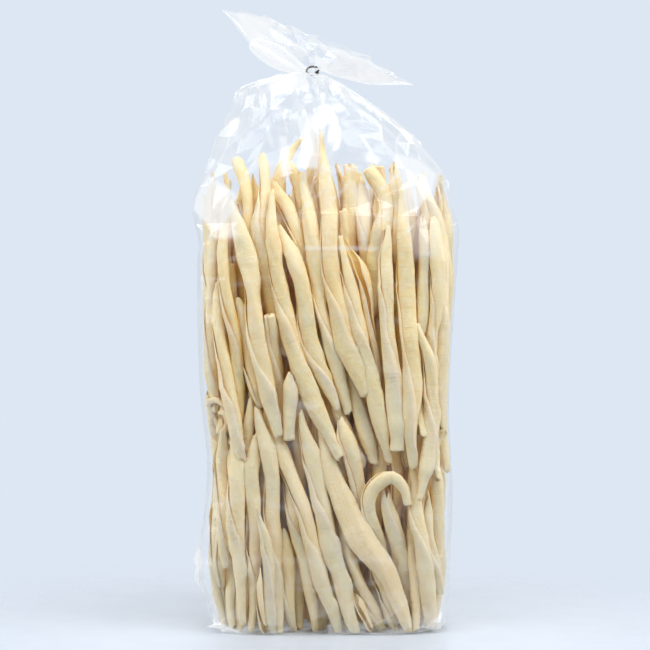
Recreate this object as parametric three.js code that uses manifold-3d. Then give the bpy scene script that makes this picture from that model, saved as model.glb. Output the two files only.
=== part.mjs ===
// A clear film bag of long hand-rolled fusilli, standing on its base, its neck gathered in a wire clip.
//
// Millimetres, +Z up, the front faces -Y. The origin is the middle of the flat base, on the surface
// that the bag stands on. The bag is one solid, from its base to the ruffled mouth over the neck: its
// skin is lofted through named sections, and where the film lies on the pasta, the two tiers of
// rolled sticks stand out of a core that is set back from that skin. The heads of the upper tier
// stand highest in the middle of the front and of the back. The clip is a turn of wire.

import * as THREE from "three";
import { mergeVertices } from "three/addons/utils/BufferGeometryUtils.js";
import Module from "manifold-3d";

const wasm = await Module();
wasm.setup();

// ---- Driving dimensions -------------------------------------------------------------------------

const HALF_WIDTH = 53; // of the filled body
const HALF_DEPTH = 34;
const NECK = { x: -6.7, foot: 236.4, head: 242.8, radius: 1.9 }; // the film gathered in the clip

// A level section of the filled body, so much wider to each side and so much deeper than the body.
function bodySection(name, z, wider, deeper, corner) {
  const reach = HALF_WIDTH + wider;
  const depth = HALF_DEPTH + deeper;
  return { name, left: [-reach, z], right: [reach, z], depth, corner, pleat: 0, lift: 0 };
}

// A level section of the neck.
function neckSection(name, z) {
  const left = [NECK.x - NECK.radius, z];
  const right = [NECK.x + NECK.radius, z];
  return { name, left, right, depth: NECK.radius, corner: 1, pleat: 0, lift: 0 };
}

// The film's sections, from the base to the mouth. left and right are a section's outermost points in
// the front view, as [x, z], and its plane runs through both. depth is half its size from front to
// back, corner its corner radius as a share of depth, pleat how deep its folds are as a share of the
// way to its middle, and lift how far its front and back stand above its plane.
const SECTIONS = [
  bodySection("base", 0, -6, -6, 0.45),
  bodySection("heel", 7, -1.5, -1.5, 0.42),
  bodySection("low", 32, 1, 0, 0.4),
  bodySection("waist", 82, -1.8, -0.5, 0.42),
  bodySection("belly", 120, 0.3, 1, 0.42),
  bodySection("chest", 155, 1.6, 0, 0.42),
  { name: "shoulder", left: [-58.5, 179.5], right: [56, 173], depth: 32, corner: 0.4, pleat: 0.03, lift: 2 },
  { name: "slope", left: [-49.5, 205], right: [49.5, 196], depth: 27, corner: 0.5, pleat: 0.09, lift: 3 },
  { name: "brow", left: [-40.5, 227], right: [38.5, 208.5], depth: 20.5, corner: 0.7, pleat: 0.16, lift: 1 },
  { name: "roof", left: [-28.5, 236], right: [21, 225], depth: 13, corner: 0.9, pleat: 0.24, lift: 0 },
  { name: "gather", left: [-14.5, 236.4], right: [4.5, 230.8], depth: 6, corner: 1, pleat: 0.22, lift: 0 },
  neckSection("neck", NECK.foot),
  neckSection("throat", NECK.head),
  { name: "spring", left: [-18, 243.6], right: [6, 238], depth: 7, corner: 1, pleat: 0.25, lift: 4 },
  { name: "fan", left: [-34, 245.5], right: [22, 231.5], depth: 15.5, corner: 1, pleat: 0.28, lift: 7.5 },
  { name: "mouth", left: [-43.5, 263], right: [35.5, 233], depth: 21, corner: 1, pleat: 0.2, lift: 4 },
  { name: "dish", left: [-26, 256.5], right: [21, 239], depth: 12, corner: 1, pleat: 0.2, lift: 3.5 },
];
const STEPS_PER_SECTION = 1.5; // rings of the loft for each section
const POINTS_ROUND = 66; // points round each ring
const PLEATS = 12; // folds of film round the neck
const PLEAT_DRIFT = [0.32, 0.21]; // how unevenly the folds are spaced, once and twice round

// The fusilli in relief: a lower and an upper tier of sticks round the core, which lies set back from
// the film. Turns are shares of the way round the bag. The sticks of a tier lean most at steepestAt, a
// share of the way across the front.
const CORE_SETBACK = 6;
const STICK = {
  radius: 4.9,
  sides: 6,
  segments: 6,
  tipShare: 0.3, // of the radius that is left at the ends
  clearOfFilm: 0.3,
  sunkScatter: 2,
  girthScatter: 0.3,
  turnScatter: 0.35,
  leanScatter: 0.03,
  bowScatter: 0.009,
};
const TIERS = [
  { foot: 1.5, footScatter: 2, top: 98, topScatter: 18, rise: 0, count: 28, lean: 0.085, steepestAt: 0.7 },
  { foot: 72, footScatter: 16, top: 190, topScatter: 18, rise: 10, count: 28, lean: 0.07, steepestAt: 0.4 },
];
const FRONT = { start: -0.16, share: 0.32 }; // the turns that the front takes

// The clip: a turn of round wire whose ends pass each other. Its front is raised.
const CLIP = { radius: 2.65, long: 3, wire: 0.45, turns: 1.12, pitch: 1.15, tilt: 28, start: 20 };

// ---- Small helpers ------------------------------------------------------------------------------

const FULL_TURN = 2 * Math.PI;

// A repeatable number from 0 to 1 for each whole number.
function scatter(seed) {
  const wave = Math.sin(seed * 12.9898 + 4.1414) * 43758.5453;
  return wave - Math.floor(wave);
}

// A smooth curve through evenly spaced values; place 1.5 lies halfway from values[1] to values[2].
function spline(values, place) {
  const last = values.length - 1;
  const i = Math.min(Math.floor(place), last - 1);
  const t = place - i;
  const [a, b, c, d] = [i - 1, i, i + 1, i + 2].map((k) => values[THREE.MathUtils.clamp(k, 0, last)]);
  const bend = 2 * a - 5 * b + 4 * c - d;
  const turn = 3 * b - a - 3 * c + d;
  return 0.5 * (2 * b + (c - a) * t + bend * t * t + turn * t * t * t);
}

// Moves every vertex of a cylinder of radius 1 and height 1 to at(height, turn, radius), each 0 to 1.
// Turn 0 is the middle of the front, and it grows to the right.
function reshape(cylinder, at) {
  const position = cylinder.getAttribute("position");
  const p = new THREE.Vector3();
  for (let i = 0; i < position.count; i++) {
    p.fromBufferAttribute(position, i);
    const turn = (Math.atan2(p.x, p.z) / FULL_TURN + 1) % 1;
    const moved = at(p.y + 0.5, turn, Math.min(1, Math.hypot(p.x, p.z)));
    position.setXYZ(i, moved.x, moved.y, moved.z);
  }
  return cylinder;
}

function solidOf(geometry) {
  const bare = geometry.clone();
  bare.deleteAttribute("normal");
  bare.deleteAttribute("uv");
  const merged = mergeVertices(bare, 1e-4);
  return new wasm.Manifold(
    new wasm.Mesh({
      numProp: 3,
      vertProperties: new Float32Array(merged.getAttribute("position").array),
      triVerts: new Uint32Array(merged.index.array),
    }),
  );
}

function geometryOf(solid) {
  const mesh = solid.getMesh();
  const geometry = new THREE.BufferGeometry();
  geometry.setAttribute("position", new THREE.BufferAttribute(mesh.vertProperties, 3));
  geometry.setIndex(new THREE.BufferAttribute(mesh.triVerts, 1));
  geometry.computeVertexNormals();
  return geometry;
}

// ---- The film's skin ----------------------------------------------------------------------------

const LAST_PLACE = SECTIONS.length - 1;
const COLUMNS = {
  leftX: SECTIONS.map((s) => s.left[0]),
  leftZ: SECTIONS.map((s) => s.left[1]),
  rightX: SECTIONS.map((s) => s.right[0]),
  rightZ: SECTIONS.map((s) => s.right[1]),
  depth: SECTIONS.map((s) => s.depth),
  corner: SECTIONS.map((s) => s.corner),
  pleat: SECTIONS.map((s) => s.pleat),
  lift: SECTIONS.map((s) => s.lift),
};

function sectionAt(place) {
  const entries = Object.entries(COLUMNS).map(([key, values]) => [key, spline(values, place)]);
  return Object.fromEntries(entries);
}

// The place along the body whose section stands at a height.
function placeAtHeight(z) {
  let low = 0;
  let high = SECTIONS.findIndex((s) => s.name === "brow");
  for (let i = 0; i < 30; i++) {
    const middle = (low + high) / 2;
    const { leftZ, rightZ } = sectionAt(middle);
    if ((leftZ + rightZ) / 2 < z) low = middle;
    else high = middle;
  }
  return low;
}

// A rectangle with round corners, from the middle of its front side round to the right.
function roundedOutline(halfWidth, halfDepth, cornerRadius) {
  const r = Math.min(cornerRadius, halfWidth - 0.01, halfDepth - 0.01);
  const w = halfWidth - r;
  const d = halfDepth - r;
  const quarter = Math.PI / 2;
  const path = new THREE.Path();
  path.moveTo(0, -halfDepth);
  path.lineTo(w, -halfDepth);
  path.absarc(w, -d, r, -quarter, 0, false);
  path.absarc(w, d, r, 0, quarter, false);
  path.absarc(-w, d, r, quarter, 2 * quarter, false);
  path.absarc(-w, -d, r, 2 * quarter, 3 * quarter, false);
  path.lineTo(0, -halfDepth);
  return path;
}

// How far into a fold of the gathered film a turn lies, from 0 on a crest to 1 in a valley. The
// folds are uneven: some are wide and some narrow.
function foldAt(turn) {
  const once = PLEAT_DRIFT[0] * Math.sin(FULL_TURN * turn);
  const twice = PLEAT_DRIFT[1] * Math.sin(2 * FULL_TURN * turn + 1.3);
  const along = turn * PLEATS + once + twice;
  const share = along - Math.floor(along);
  return 1 - Math.abs(2 * share - 1);
}

// A point of the film's skin, set back from it by inset, or drawn to the section's middle by radius.
function skinPoint(place, turn, inset = 0, radius = 1) {
  const s = sectionAt(place);
  const left = new THREE.Vector3(s.leftX, 0, s.leftZ);
  const right = new THREE.Vector3(s.rightX, 0, s.rightZ);
  const across = right.clone().sub(left);
  const halfWidth = across.length() / 2 - inset;
  const halfDepth = s.depth - inset;
  const outline = roundedOutline(halfWidth, halfDepth, s.corner * s.depth);
  const flat = outline.getPoint(turn).multiplyScalar(radius * (1 - s.pleat * foldAt(turn)));
  const lift = s.lift * (flat.y / halfDepth) ** 2;
  return left
    .add(right)
    .multiplyScalar(0.5)
    .addScaledVector(across.normalize(), flat.x)
    .add(new THREE.Vector3(0, flat.y, lift));
}

// ---- The bag ------------------------------------------------------------------------------------

// The core is set back from the film as high as the pasta reaches, and meets it at the base and
// above the heads.
function coreInset(place) {
  const slope = SECTIONS.findIndex((s) => s.name === "slope");
  const rising = THREE.MathUtils.smoothstep(place, 0, 1);
  const falling = THREE.MathUtils.smoothstep(place, slope - 0.7, slope + 0.3);
  return CORE_SETBACK * (rising - falling);
}

function core() {
  const steps = Math.round(LAST_PLACE * STEPS_PER_SECTION);
  const cylinder = new THREE.CylinderGeometry(1, 1, 1, POINTS_ROUND, steps);
  return solidOf(
    reshape(cylinder, (height, turn, radius) => {
      const place = height * LAST_PLACE;
      return skinPoint(place, turn, coreInset(place), radius);
    }),
  );
}

// How a stick leans: the front ones lean most, with their heads to the left, and the others hardly.
function leanAt(turn, tier) {
  const across = ((turn - FRONT.start + 1) % 1) / FRONT.share; // 0 to 1 from left to right of the front
  if (across > 1) return 0;
  return tier.lean * Math.sin(Math.PI * across) * (1 - Math.abs(across - tier.steepestAt));
}

// One fusillo against the film: a tapered round stick that bends a little along its length.
function stick(tier, index) {
  const seed = index + tier.foot;
  const vary = (range, salt) => range * (scatter(seed + salt) - 0.5);
  const turn = (index + vary(STICK.turnScatter, 0)) / tier.count;
  const foot = tier.foot + tier.footScatter * scatter(seed + 50);
  const middle = 0.5 + 0.5 * Math.cos(2 * FULL_TURN * turn);
  const top = tier.top + tier.rise * middle + vary(tier.topScatter, 90);
  const radius = STICK.radius * (1 + vary(STICK.girthScatter, 20));
  const inset = radius + STICK.clearOfFilm + STICK.sunkScatter * scatter(seed + 60);
  const lean = leanAt(turn, tier) + vary(STICK.leanScatter, 70);
  const bow = vary(STICK.bowScatter, 30);

  const cylinder = new THREE.CylinderGeometry(1, 1, 1, STICK.sides, STICK.segments);
  return solidOf(
    reshape(cylinder, (height, around, share) => {
      const taper = STICK.tipShare + (1 - STICK.tipShare) * Math.sin(Math.PI * height) ** 0.6;
      const place = placeAtHeight(THREE.MathUtils.lerp(foot, top, height));
      const here = turn + lean * (0.5 - height) + bow * Math.sin(FULL_TURN * height) + 1;
      const axis = skinPoint(place, here % 1, inset);
      const sideways = skinPoint(place, (here + 0.004) % 1, inset).sub(axis).normalize();
      const outward = new THREE.Vector3(sideways.y, -sideways.x, 0);
      const angle = around * FULL_TURN;
      return axis
        .addScaledVector(sideways, radius * taper * share * Math.sin(angle))
        .addScaledVector(outward, radius * taper * share * Math.cos(angle));
    }),
  );
}

function bag() {
  let solid = core();
  for (const tier of TIERS) {
    for (let index = 0; index < tier.count; index++) solid = solid.add(stick(tier, index));
  }
  // A pocket between the sticks that has no opening is a shell of its own, and is filled.
  solid = solid.decompose().reduce((a, b) => (a.volume() > b.volume() ? a : b));
  const mesh = new THREE.Mesh(
    geometryOf(solid),
    new THREE.MeshStandardMaterial({ color: 0xe6d6ab, roughness: 0.75, metalness: 0 }),
  );
  mesh.name = "bag";
  return mesh;
}

// ---- The clip -----------------------------------------------------------------------------------

class ClipPath extends THREE.Curve {
  getPoint(share, target = new THREE.Vector3()) {
    const angle = THREE.MathUtils.degToRad(CLIP.start) + FULL_TURN * CLIP.turns * share;
    const rise = CLIP.pitch * CLIP.turns * (share - 0.5);
    return target.set(CLIP.radius * Math.cos(angle), CLIP.long * Math.sin(angle), rise);
  }
}

function clip() {
  const section = new THREE.Shape().absarc(0, 0, CLIP.wire, 0, FULL_TURN, false);
  const wire = new THREE.ExtrudeGeometry(section, {
    extrudePath: new ClipPath(),
    steps: 34,
    curveSegments: 8,
    bevelEnabled: false,
  });
  const mesh = new THREE.Mesh(
    wire,
    new THREE.MeshStandardMaterial({ color: 0x4a4340, roughness: 0.35, metalness: 1 }),
  );
  mesh.name = "clip";
  mesh.position.set(NECK.x, 0, (NECK.foot + NECK.head) / 2);
  mesh.rotation.x = -THREE.MathUtils.degToRad(CLIP.tilt);
  return mesh;
}

// ---- The object ---------------------------------------------------------------------------------

const fusilliBag = new THREE.Group();
fusilliBag.add(bag(), clip());

export default fusilliBag;
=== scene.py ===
"""A clear film bag of long hand-rolled fusilli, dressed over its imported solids.

The bag's solid is replaced by the film, the fusilli and a core behind them. The wire clip keeps its
solid. Shapes are worked out in millimetres, and meshes are in metres. The front faces -Y.
"""

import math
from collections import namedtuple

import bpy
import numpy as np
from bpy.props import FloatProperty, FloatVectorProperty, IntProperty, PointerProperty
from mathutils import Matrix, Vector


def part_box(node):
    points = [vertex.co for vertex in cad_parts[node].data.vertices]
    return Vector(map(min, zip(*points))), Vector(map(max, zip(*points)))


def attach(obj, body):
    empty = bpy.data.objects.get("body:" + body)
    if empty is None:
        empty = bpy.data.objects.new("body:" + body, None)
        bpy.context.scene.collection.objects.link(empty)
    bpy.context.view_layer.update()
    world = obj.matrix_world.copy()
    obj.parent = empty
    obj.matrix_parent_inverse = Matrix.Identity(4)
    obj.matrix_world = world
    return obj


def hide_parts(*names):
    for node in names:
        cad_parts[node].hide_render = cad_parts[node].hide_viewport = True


bl_info = {
    "name": "Bagged Fusilli",
    "version": (1, 0, 0),
    "blender": (4, 5, 0),
    "location": "View3D > Sidebar > Fusilli",
    "description": "Long hand-rolled fusilli in a clear film bag with a wire clip",
    "category": "Object",
}

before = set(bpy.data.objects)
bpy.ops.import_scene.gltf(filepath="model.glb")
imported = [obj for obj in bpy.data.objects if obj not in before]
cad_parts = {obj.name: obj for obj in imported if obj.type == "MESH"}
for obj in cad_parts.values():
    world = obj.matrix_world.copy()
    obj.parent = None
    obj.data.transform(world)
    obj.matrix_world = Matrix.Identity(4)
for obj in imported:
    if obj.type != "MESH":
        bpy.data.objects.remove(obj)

MM = 0.001
BAG_LOW, BAG_HIGH = (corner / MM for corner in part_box("bag"))
CLIP_LOW, CLIP_HIGH = (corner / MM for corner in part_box("clip"))
CLIP_MIDDLE = (CLIP_LOW + CLIP_HIGH) / 2
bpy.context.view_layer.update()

FULL_TURN = 2 * math.pi


# ---- Numbers that repeat, curves and creases ----


def scatter(i, j, seed):
    """A repeatable number from 0 to 1 for each pair of whole numbers."""
    wave = np.sin(i * 127.1 + j * 311.7 + seed * 74.7) * 43758.5453
    return wave - np.floor(wave)


def ease(value, start, end):
    """0 before start, 1 after end, and a smooth rise between them."""
    t = np.clip((value - start) / (end - start), 0, 1)
    return t * t * (3 - 2 * t)


def unit(vectors):
    """The vectors, each of length 1."""
    return vectors / np.linalg.norm(vectors, axis=1)[:, None]


def spline(values, place):
    """A smooth curve through evenly spaced rows of values; place 1.5 lies halfway from 1 to 2."""
    values, place = np.asarray(values, float), np.asarray(place, float)
    last = len(values) - 1
    i = np.clip(np.floor(place).astype(int), 0, last - 1)
    t = place - i
    if values.ndim > 1:
        t = t[..., None]
    a, b, c, d = (values[np.clip(i + k, 0, last)] for k in (-1, 0, 1, 2))
    bend = 2 * a - 5 * b + 4 * c - d
    turn = 3 * b - a - 3 * c + d
    return 0.5 * (2 * b + (c - a) * t + bend * t**2 + turn * t**3)


def cell(value):
    """The whole number at or below value, and what is left over."""
    whole = np.floor(value)
    return whole, value - whole


def on_facet(x, y, corners):
    """A value on a cell folded flat along its diagonal; corners(di, dj) gives its corners."""
    low, right, up, high = (corners(di, dj) for di, dj in ((0, 0), (1, 0), (0, 1), (1, 1)))
    lower = low + x * (right - low) + y * (high - right)
    upper = low + y * (up - low) + x * (high - up)
    return np.where(x > y, lower, upper)


def facets(across, along, seed, wrap=None):
    """Flat facets with sharp creases between them, from -1 to 1. wrap closes them on themselves."""
    (i, x), (j, y) = cell(across), cell(along)

    def height(di, dj):
        column = i + di if wrap is None else np.mod(i + di, wrap)
        return 2 * scatter(column, j + dj, seed) - 1

    return on_facet(x, y, height)


def swell(across, along, seed, wrap=None):
    """Soft unevenness, from -1 to 1. wrap closes it on itself."""
    (i, x), (j, y) = cell(across), cell(along)
    x, y = ease(x, 0, 1), ease(y, 0, 1)
    left, right = (i + di if wrap is None else np.mod(i + di, wrap) for di in (0, 1))

    def level(j):
        return scatter(left, j, seed) * (1 - x) + scatter(right, j, seed) * x

    return 2 * (level(j) * (1 - y) + level(j + 1) * y) - 1


# ---- The film's skin ----

# A section of the film: its outermost points to the left and right as x and z, half its depth, its
# corner radius as a share of that, and how far its front and back stand above its plane.
Section = namedtuple("Section", "left_x left_z right_x right_z depth corner lift")
FILM = {
    "base": Section(-47.5, 0, 48.5, 1, 32, 0.7, 0),
    "heel": Section(-51, 6, 52, 6, 34, 0.65, 0),
    "low": Section(-56, 26, 52.4, 27, 34, 0.55, 0),
    "waist": Section(-51.8, 67, 53.4, 60, 33.5, 0.5, 0),
    "belly": Section(-55, 106, 51.8, 99, 35, 0.5, 0),
    "chest": Section(-56, 150, 55, 150, 34, 0.55, 0),
    "side": Section(-56, 169, 56.5, 171, 33, 0.6, 0.5),
    "shoulder": Section(-60, 179, 55, 180, 31, 0.75, 1.5),
    "slope": Section(-53.3, 199, 52, 195.5, 28, 0.85, 2.5),
    "brow": Section(-44.7, 221, 39.5, 210, 23, 0.9, 1.5),
    "roof": Section(-39, 232.5, 25, 222, 15, 0.95, 1),
    "gather": Section(-22, 236.8, 8, 232.5, 7.5, 1, 3.5),
    "neck": Section(-8.8, 237.8, -4.6, 237.8, 2.1, 1, 0),
    "throat": Section(-8.8, 240.6, -4.6, 240.6, 2.1, 1, 0),
    "spring": Section(-17, 240.4, 6, 236.2, 7, 1, 3.5),
    "fan": Section(-35, 249, 25, 232, 15, 1, 7.5),
    "mouth": Section(-47.5, 266, 39, 232.4, 20, 1, 5),
}
PLACE = {name: index for index, name in enumerate(FILM)}


def row_at(table, place):
    """The row between a table's rows at that place."""
    rows = list(table.values())
    return type(rows[0])(*np.moveaxis(spline(rows, place), -1, 0))


def section_at(place):
    """The film's section there, its middle and half its width."""
    s = row_at(FILM, place)
    return s, (s.left_x + s.right_x) / 2, (s.right_x - s.left_x) / 2


HEIGHT_PLACES = np.linspace(0, PLACE["roof"], 200)
_, LEFT_HEIGHTS, _, RIGHT_HEIGHTS, *_ = row_at(FILM, HEIGHT_PLACES)


def place_at_height(z, x=0.0):
    """The place of the section that passes through height z at x: the upper sections tilt."""
    share = np.clip(0.5 + x / (BAG_HIGH.x - BAG_LOW.x), 0, 1)
    left = np.interp(z, LEFT_HEIGHTS, HEIGHT_PLACES)
    return (1 - share) * left + share * np.interp(z, RIGHT_HEIGHTS, HEIGHT_PLACES)


def rounded_outline(half_width, half_depth, radius, turn):
    """x and y on a rectangle with round corners, from the middle of its front to the right."""
    r = np.minimum(radius, np.minimum(half_width, half_depth) - 0.01)
    w, d = half_width - r, half_depth - r
    quarter = r * math.pi / 2
    whole = 4 * (w + quarter + d)
    run = np.mod(turn, 1) * whole
    side = np.where(run > whole / 2, -1, 1)
    run = np.where(run > whole / 2, whole - run, run)
    face = np.where(run > whole / 4, 1, -1)
    run = np.where(run > whole / 4, whole / 2 - run, run)
    angle = np.clip((run - w) / r, 0, math.pi / 2)
    x = np.clip(run, 0, w) + r * np.sin(angle)
    y = half_depth - r * (1 - np.cos(angle)) - np.clip(run - w - quarter, 0, None)
    return side * x, face * y


def skin(place, turn, pinch=0):
    """Points of the film's skin, drawn in to the section's middle by the share pinch."""
    s, middle_x, _ = section_at(place)
    across_x, across_z = s.right_x - s.left_x, s.right_z - s.left_z
    width = np.hypot(across_x, across_z)
    x, y = rounded_outline(width / 2, s.depth, s.corner * s.depth, turn)
    x, y = x * (1 - pinch), y * (1 - pinch)
    lift = s.lift * (y / s.depth) ** 2
    share, middle_z = x / width, (s.left_z + s.right_z) / 2
    return np.stack([middle_x + share * across_x, y, middle_z + share * across_z + lift], -1)


# ---- Fusilli: where they lie ----

# A fusillo: its route from head to foot as x and z, its girth, how many layers it lies behind the
# film, how its ends are finished, how many turns its dough is rolled, how far its free edge stands
# off, and how many layers deeper its foot lies than its head.
FUSILLO = "route girth layer head foot wrap flap dive"
Fusillo = namedtuple("Fusillo", FUSILLO, defaults=("point", "point", 1.3, 0.5, 0))

# The route of the one whose head is bent over into a hook.
HOOK = [(36, 55), (33, 62), (26.5, 67), (19, 62), (17, 54), (20, 42), (29, 20)]

# The front row of each tier.
UPPER_FRONT = [
    Fusillo([(-51, 167), (-52, 134), (-51, 98)], 5.4, 1.2),
    Fusillo([(-48, 176), (-50, 135), (-48, 94)], 5.8, 0.5),
    Fusillo([(-48, 150), (-43, 119), (-39, 92), (-36, 76)], 6.8, 0, flap=1.2),
    Fusillo([(-43, 157), (-40, 134), (-37, 108)], 5.2, 1.0, head="cut", flap=1.0),
    Fusillo([(-38, 143), (-34, 120), (-28, 96)], 6.4, 0.6, flap=1.1),
    Fusillo([(-41, 184), (-34, 157), (-30, 127), (-25, 104), (-21, 84)], 7.6, 0),
    Fusillo([(-28, 204), (-27, 184), (-29, 168), (-24, 142), (-20, 118)], 7.4, 1.0),
    Fusillo([(-31, 156), (-25, 137), (-20, 108)], 6.2, 1.9),
    Fusillo([(-25, 136), (-23, 117), (-18, 88)], 6.8, 0.7, head="cut", flap=1.0),
    Fusillo([(-24, 187), (-21, 150), (-15, 122), (-6, 99), (6, 76)], 7.2, 0, flap=1.4),
    Fusillo([(-21, 172), (-12, 150), (-8, 127), (4, 95)], 7.0, 0.3),
    Fusillo([(-24, 192), (-14, 170), (-9, 148), (-6, 126)], 7.2, 1.1),
    Fusillo([(-11, 196), (-7, 171), (-2, 136), (9, 94)], 6.9, 0.5),
    Fusillo([(-3, 211), (0, 180), (2, 152), (8, 124), (16, 101)], 7.4, 0),
    Fusillo([(5, 168), (13, 133), (19, 105), (26, 73)], 6.6, 0.1, flap=1.2),
    Fusillo([(7, 124), (12, 100), (19, 73)], 6.4, 0.9),
    Fusillo([(6, 168), (15, 150), (20, 118), (22, 98)], 4.0, 0.8, wrap=0.9),
    Fusillo([(25, 173), (24, 140), (29, 104), (28, 78)], 7.0, 0, foot="cut", flap=1.3),
    Fusillo([(31, 190), (33, 155), (35, 115), (36, 70)], 7.2, 0.2),
    Fusillo([(40, 178), (40, 150), (39, 124)], 5.2, 1.0),
    Fusillo([(37, 130), (43, 110), (43, 85), (38, 57)], 6.2, 0.4, flap=1.5),
    Fusillo([(45, 184), (46, 145), (45, 110), (46, 66)], 6.6, 0.6, flap=1.0),
    Fusillo([(49, 192), (51, 160), (50, 110), (48, 74)], 5.6, 1.4),
    Fusillo([(28, 200), (30, 176), (31, 150)], 5.6, 1.4),
    Fusillo([(17, 197), (24, 183), (21, 160), (17, 128)], 6.6, 1.1, head="cut"),
    Fusillo([(14, 194), (17, 163), (16, 136)], 6.2, 1.9),
    Fusillo([(6, 179), (8, 157), (12, 128)], 5.8, 1.2, head="cut"),
    Fusillo([(-39, 201), (-34, 182), (-32, 148)], 5.2, 1.3, head="cut"),
    Fusillo([(-32, 193), (-30, 178), (-33, 148)], 5.2, 2.0),
    Fusillo([(-11, 211), (-19, 198), (-22, 180), (-20, 148)], 5.2, 2.0),
    Fusillo([(-15, 111), (-16, 100), (-17, 82)], 7.0, -0.2, foot="cut"),
    Fusillo([(2, 100), (8, 85), (14, 70)], 5.4, 1.0),
    Fusillo([(5, 92), (11, 71), (16, 49)], 6.8, 0.4),
    Fusillo([(-18, 202), (-13, 190), (-10, 158)], 5.4, 2.0),
    Fusillo([(34, 194), (35, 170), (36, 140)], 5.2, 2.0),
]
LOWER_FRONT = [
    Fusillo([(-52, 98), (-49, 80), (-50, 48)], 4.8, 1.4),
    Fusillo([(-49, 101), (-46, 81), (-47, 48)], 4.8, 0.9, head="cut"),
    Fusillo([(-46, 95), (-47, 60), (-45, 18)], 5.2, 1.0),
    Fusillo([(-44, 89), (-45, 62), (-42, 28)], 6.8, 0),
    Fusillo([(-39, 90), (-39, 58), (-38, 25), (-36, 4)], 6.2, 0.1, flap=1.2),
    Fusillo([(-33, 100), (-34, 85), (-33, 58)], 4.4, 0.8),
    Fusillo([(-30, 84), (-33, 65), (-31, 35), (-33, 1)], 7.0, 0.3, wrap=1.1, flap=2.4),
    Fusillo([(-30, 96), (-25, 72), (-24, 35), (-21, 0)], 7.2, 0),
    Fusillo([(-30, 54), (-25, 30), (-25, 12), (-23, 0)], 4.8, -0.2, flap=1.2),
    Fusillo([(-29, 28), (-29, 15), (-26, 0)], 4.0, 0.1, wrap=0.9),
    Fusillo([(-19, 76), (-14, 48), (-8, 20), (-5, 0)], 6.2, 0.9),
    Fusillo([(-19, 45), (-17, 25), (-14, 0)], 6.0, 1.0, flap=1.6),
    Fusillo([(-26, 103), (-22, 84), (-13, 60), (-6, 36), (4, 0)], 7.0, 0.1, flap=1.6),
    Fusillo([(-12, 95), (-7, 70), (0, 42), (12, 0)], 7.2, 0, flap=1.4),
    Fusillo([(-3, 88), (3, 64), (13, 42), (25, 24), (35, 0)], 9.8, -0.1, wrap=0.4, flap=0),
    Fusillo([(5, 47), (12, 24), (24, 0)], 6.6, 0.9),
    Fusillo([(11, 18), (18, 0)], 4.0, 0.3, wrap=0.9),
    Fusillo([(19, 32), (25, 12), (29, 0)], 5.6, 1.0),
    Fusillo(HOOK, 4.9, -0.1, head="cut", flap=0, dive=1.3),
    Fusillo([(-44, 96), (-47, 99), (-50.5, 97), (-50, 90), (-48, 82)], 3.2, 0.6, wrap=0.9),
    Fusillo([(-47, 91), (-44, 94), (-42.5, 90), (-45, 82)], 3.0, 0.5, wrap=0.9),
    Fusillo([(-52, 103), (-53.5, 99), (-51, 92), (-51, 84)], 3.2, 1.5, wrap=0.9),
    Fusillo([(-49, 104), (-45.5, 101), (-44, 94), (-44, 84)], 3.2, 1.6, wrap=0.9),
    Fusillo([(23, 66), (27, 48), (33, 24), (43, 1)], 6.6, 0.7, flap=1.3),
    Fusillo([(35, 74), (37, 50), (41, 25), (44, 1)], 6.6, 0.2),
    Fusillo([(42, 60), (43, 40), (47, 16)], 5.2, 0.5, foot="cut"),
    Fusillo([(46, 74), (46, 48), (48, 24)], 5.2, 1.0),
]

# The rest of each tier: its feet and heads, how far they vary, how much higher its middle stands.
Tier = namedtuple("Tier", "foot foot_spread head head_spread middle_rise")
LOWER_TIER = Tier(1.5, 3, 96, 16, 0)
UPPER_TIER = Tier(74, 20, 185, 26, 16)

# Rings of fusilli behind the front row: how far in from the film, the first and last turn, spacing.
Ring = namedtuple("Ring", "inset start end spacing")
RINGS = [
    Ring(3.6, 0.135, 0.865, 7.4),
    Ring(11.5, 0.0, 1.0, 8.6),
    Ring(19.5, 0.0, 1.0, 10.0),
    Ring(27.5, 0.0, 1.0, 11.0),
]

ROUND_SHARE = 0.93  # the way round the film as a share of the way round its box
CUT_SHARE = 0.12  # of the ends behind the front row
NODES = 24  # along each fusillo, for settling
FILM_CLEARANCE = 0.5
SKIN_REACH = 0.3  # how much further in than that the rolled dough is kept
LAYER_DEPTH = 5.6
FRONT_SHARE = np.array([0.9, 1.0, 0.9])  # of a held one's drift that is left at each step, x to z
STIFFNESS = 0.65  # share of the small bends that settling takes out at each step
PUSH = 0.3  # share of an overlap that each of two fusilli gives way by at each step
NEAR = 2.0  # how far apart two nodes may be to be looked at in the next steps
STEPS_PER_LOOK = 8
SQUARE_ON = 0.3  # the film moves held ones straight in where it faces forward by more

# The film stands off at the top and all along the left, and bulges empty at the foot there.
LEFT_SLACK = 1.4
TOP_SLACK = 2.6
BULGE = 2.2
BULGE_HEIGHT, BULGE_SPREAD = 27, 17


def resampled(route, count):
    """count points spaced evenly along a smooth curve through the route."""
    route = np.asarray(route, float)
    fine = spline(route, np.linspace(0, len(route) - 1, 40 * len(route)))
    length = np.r_[0, np.cumsum(np.linalg.norm(np.diff(fine, axis=0), axis=1))]
    even = np.linspace(0, length[-1], count)
    return np.stack([np.interp(even, length, axis) for axis in fine.T], -1)


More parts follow.
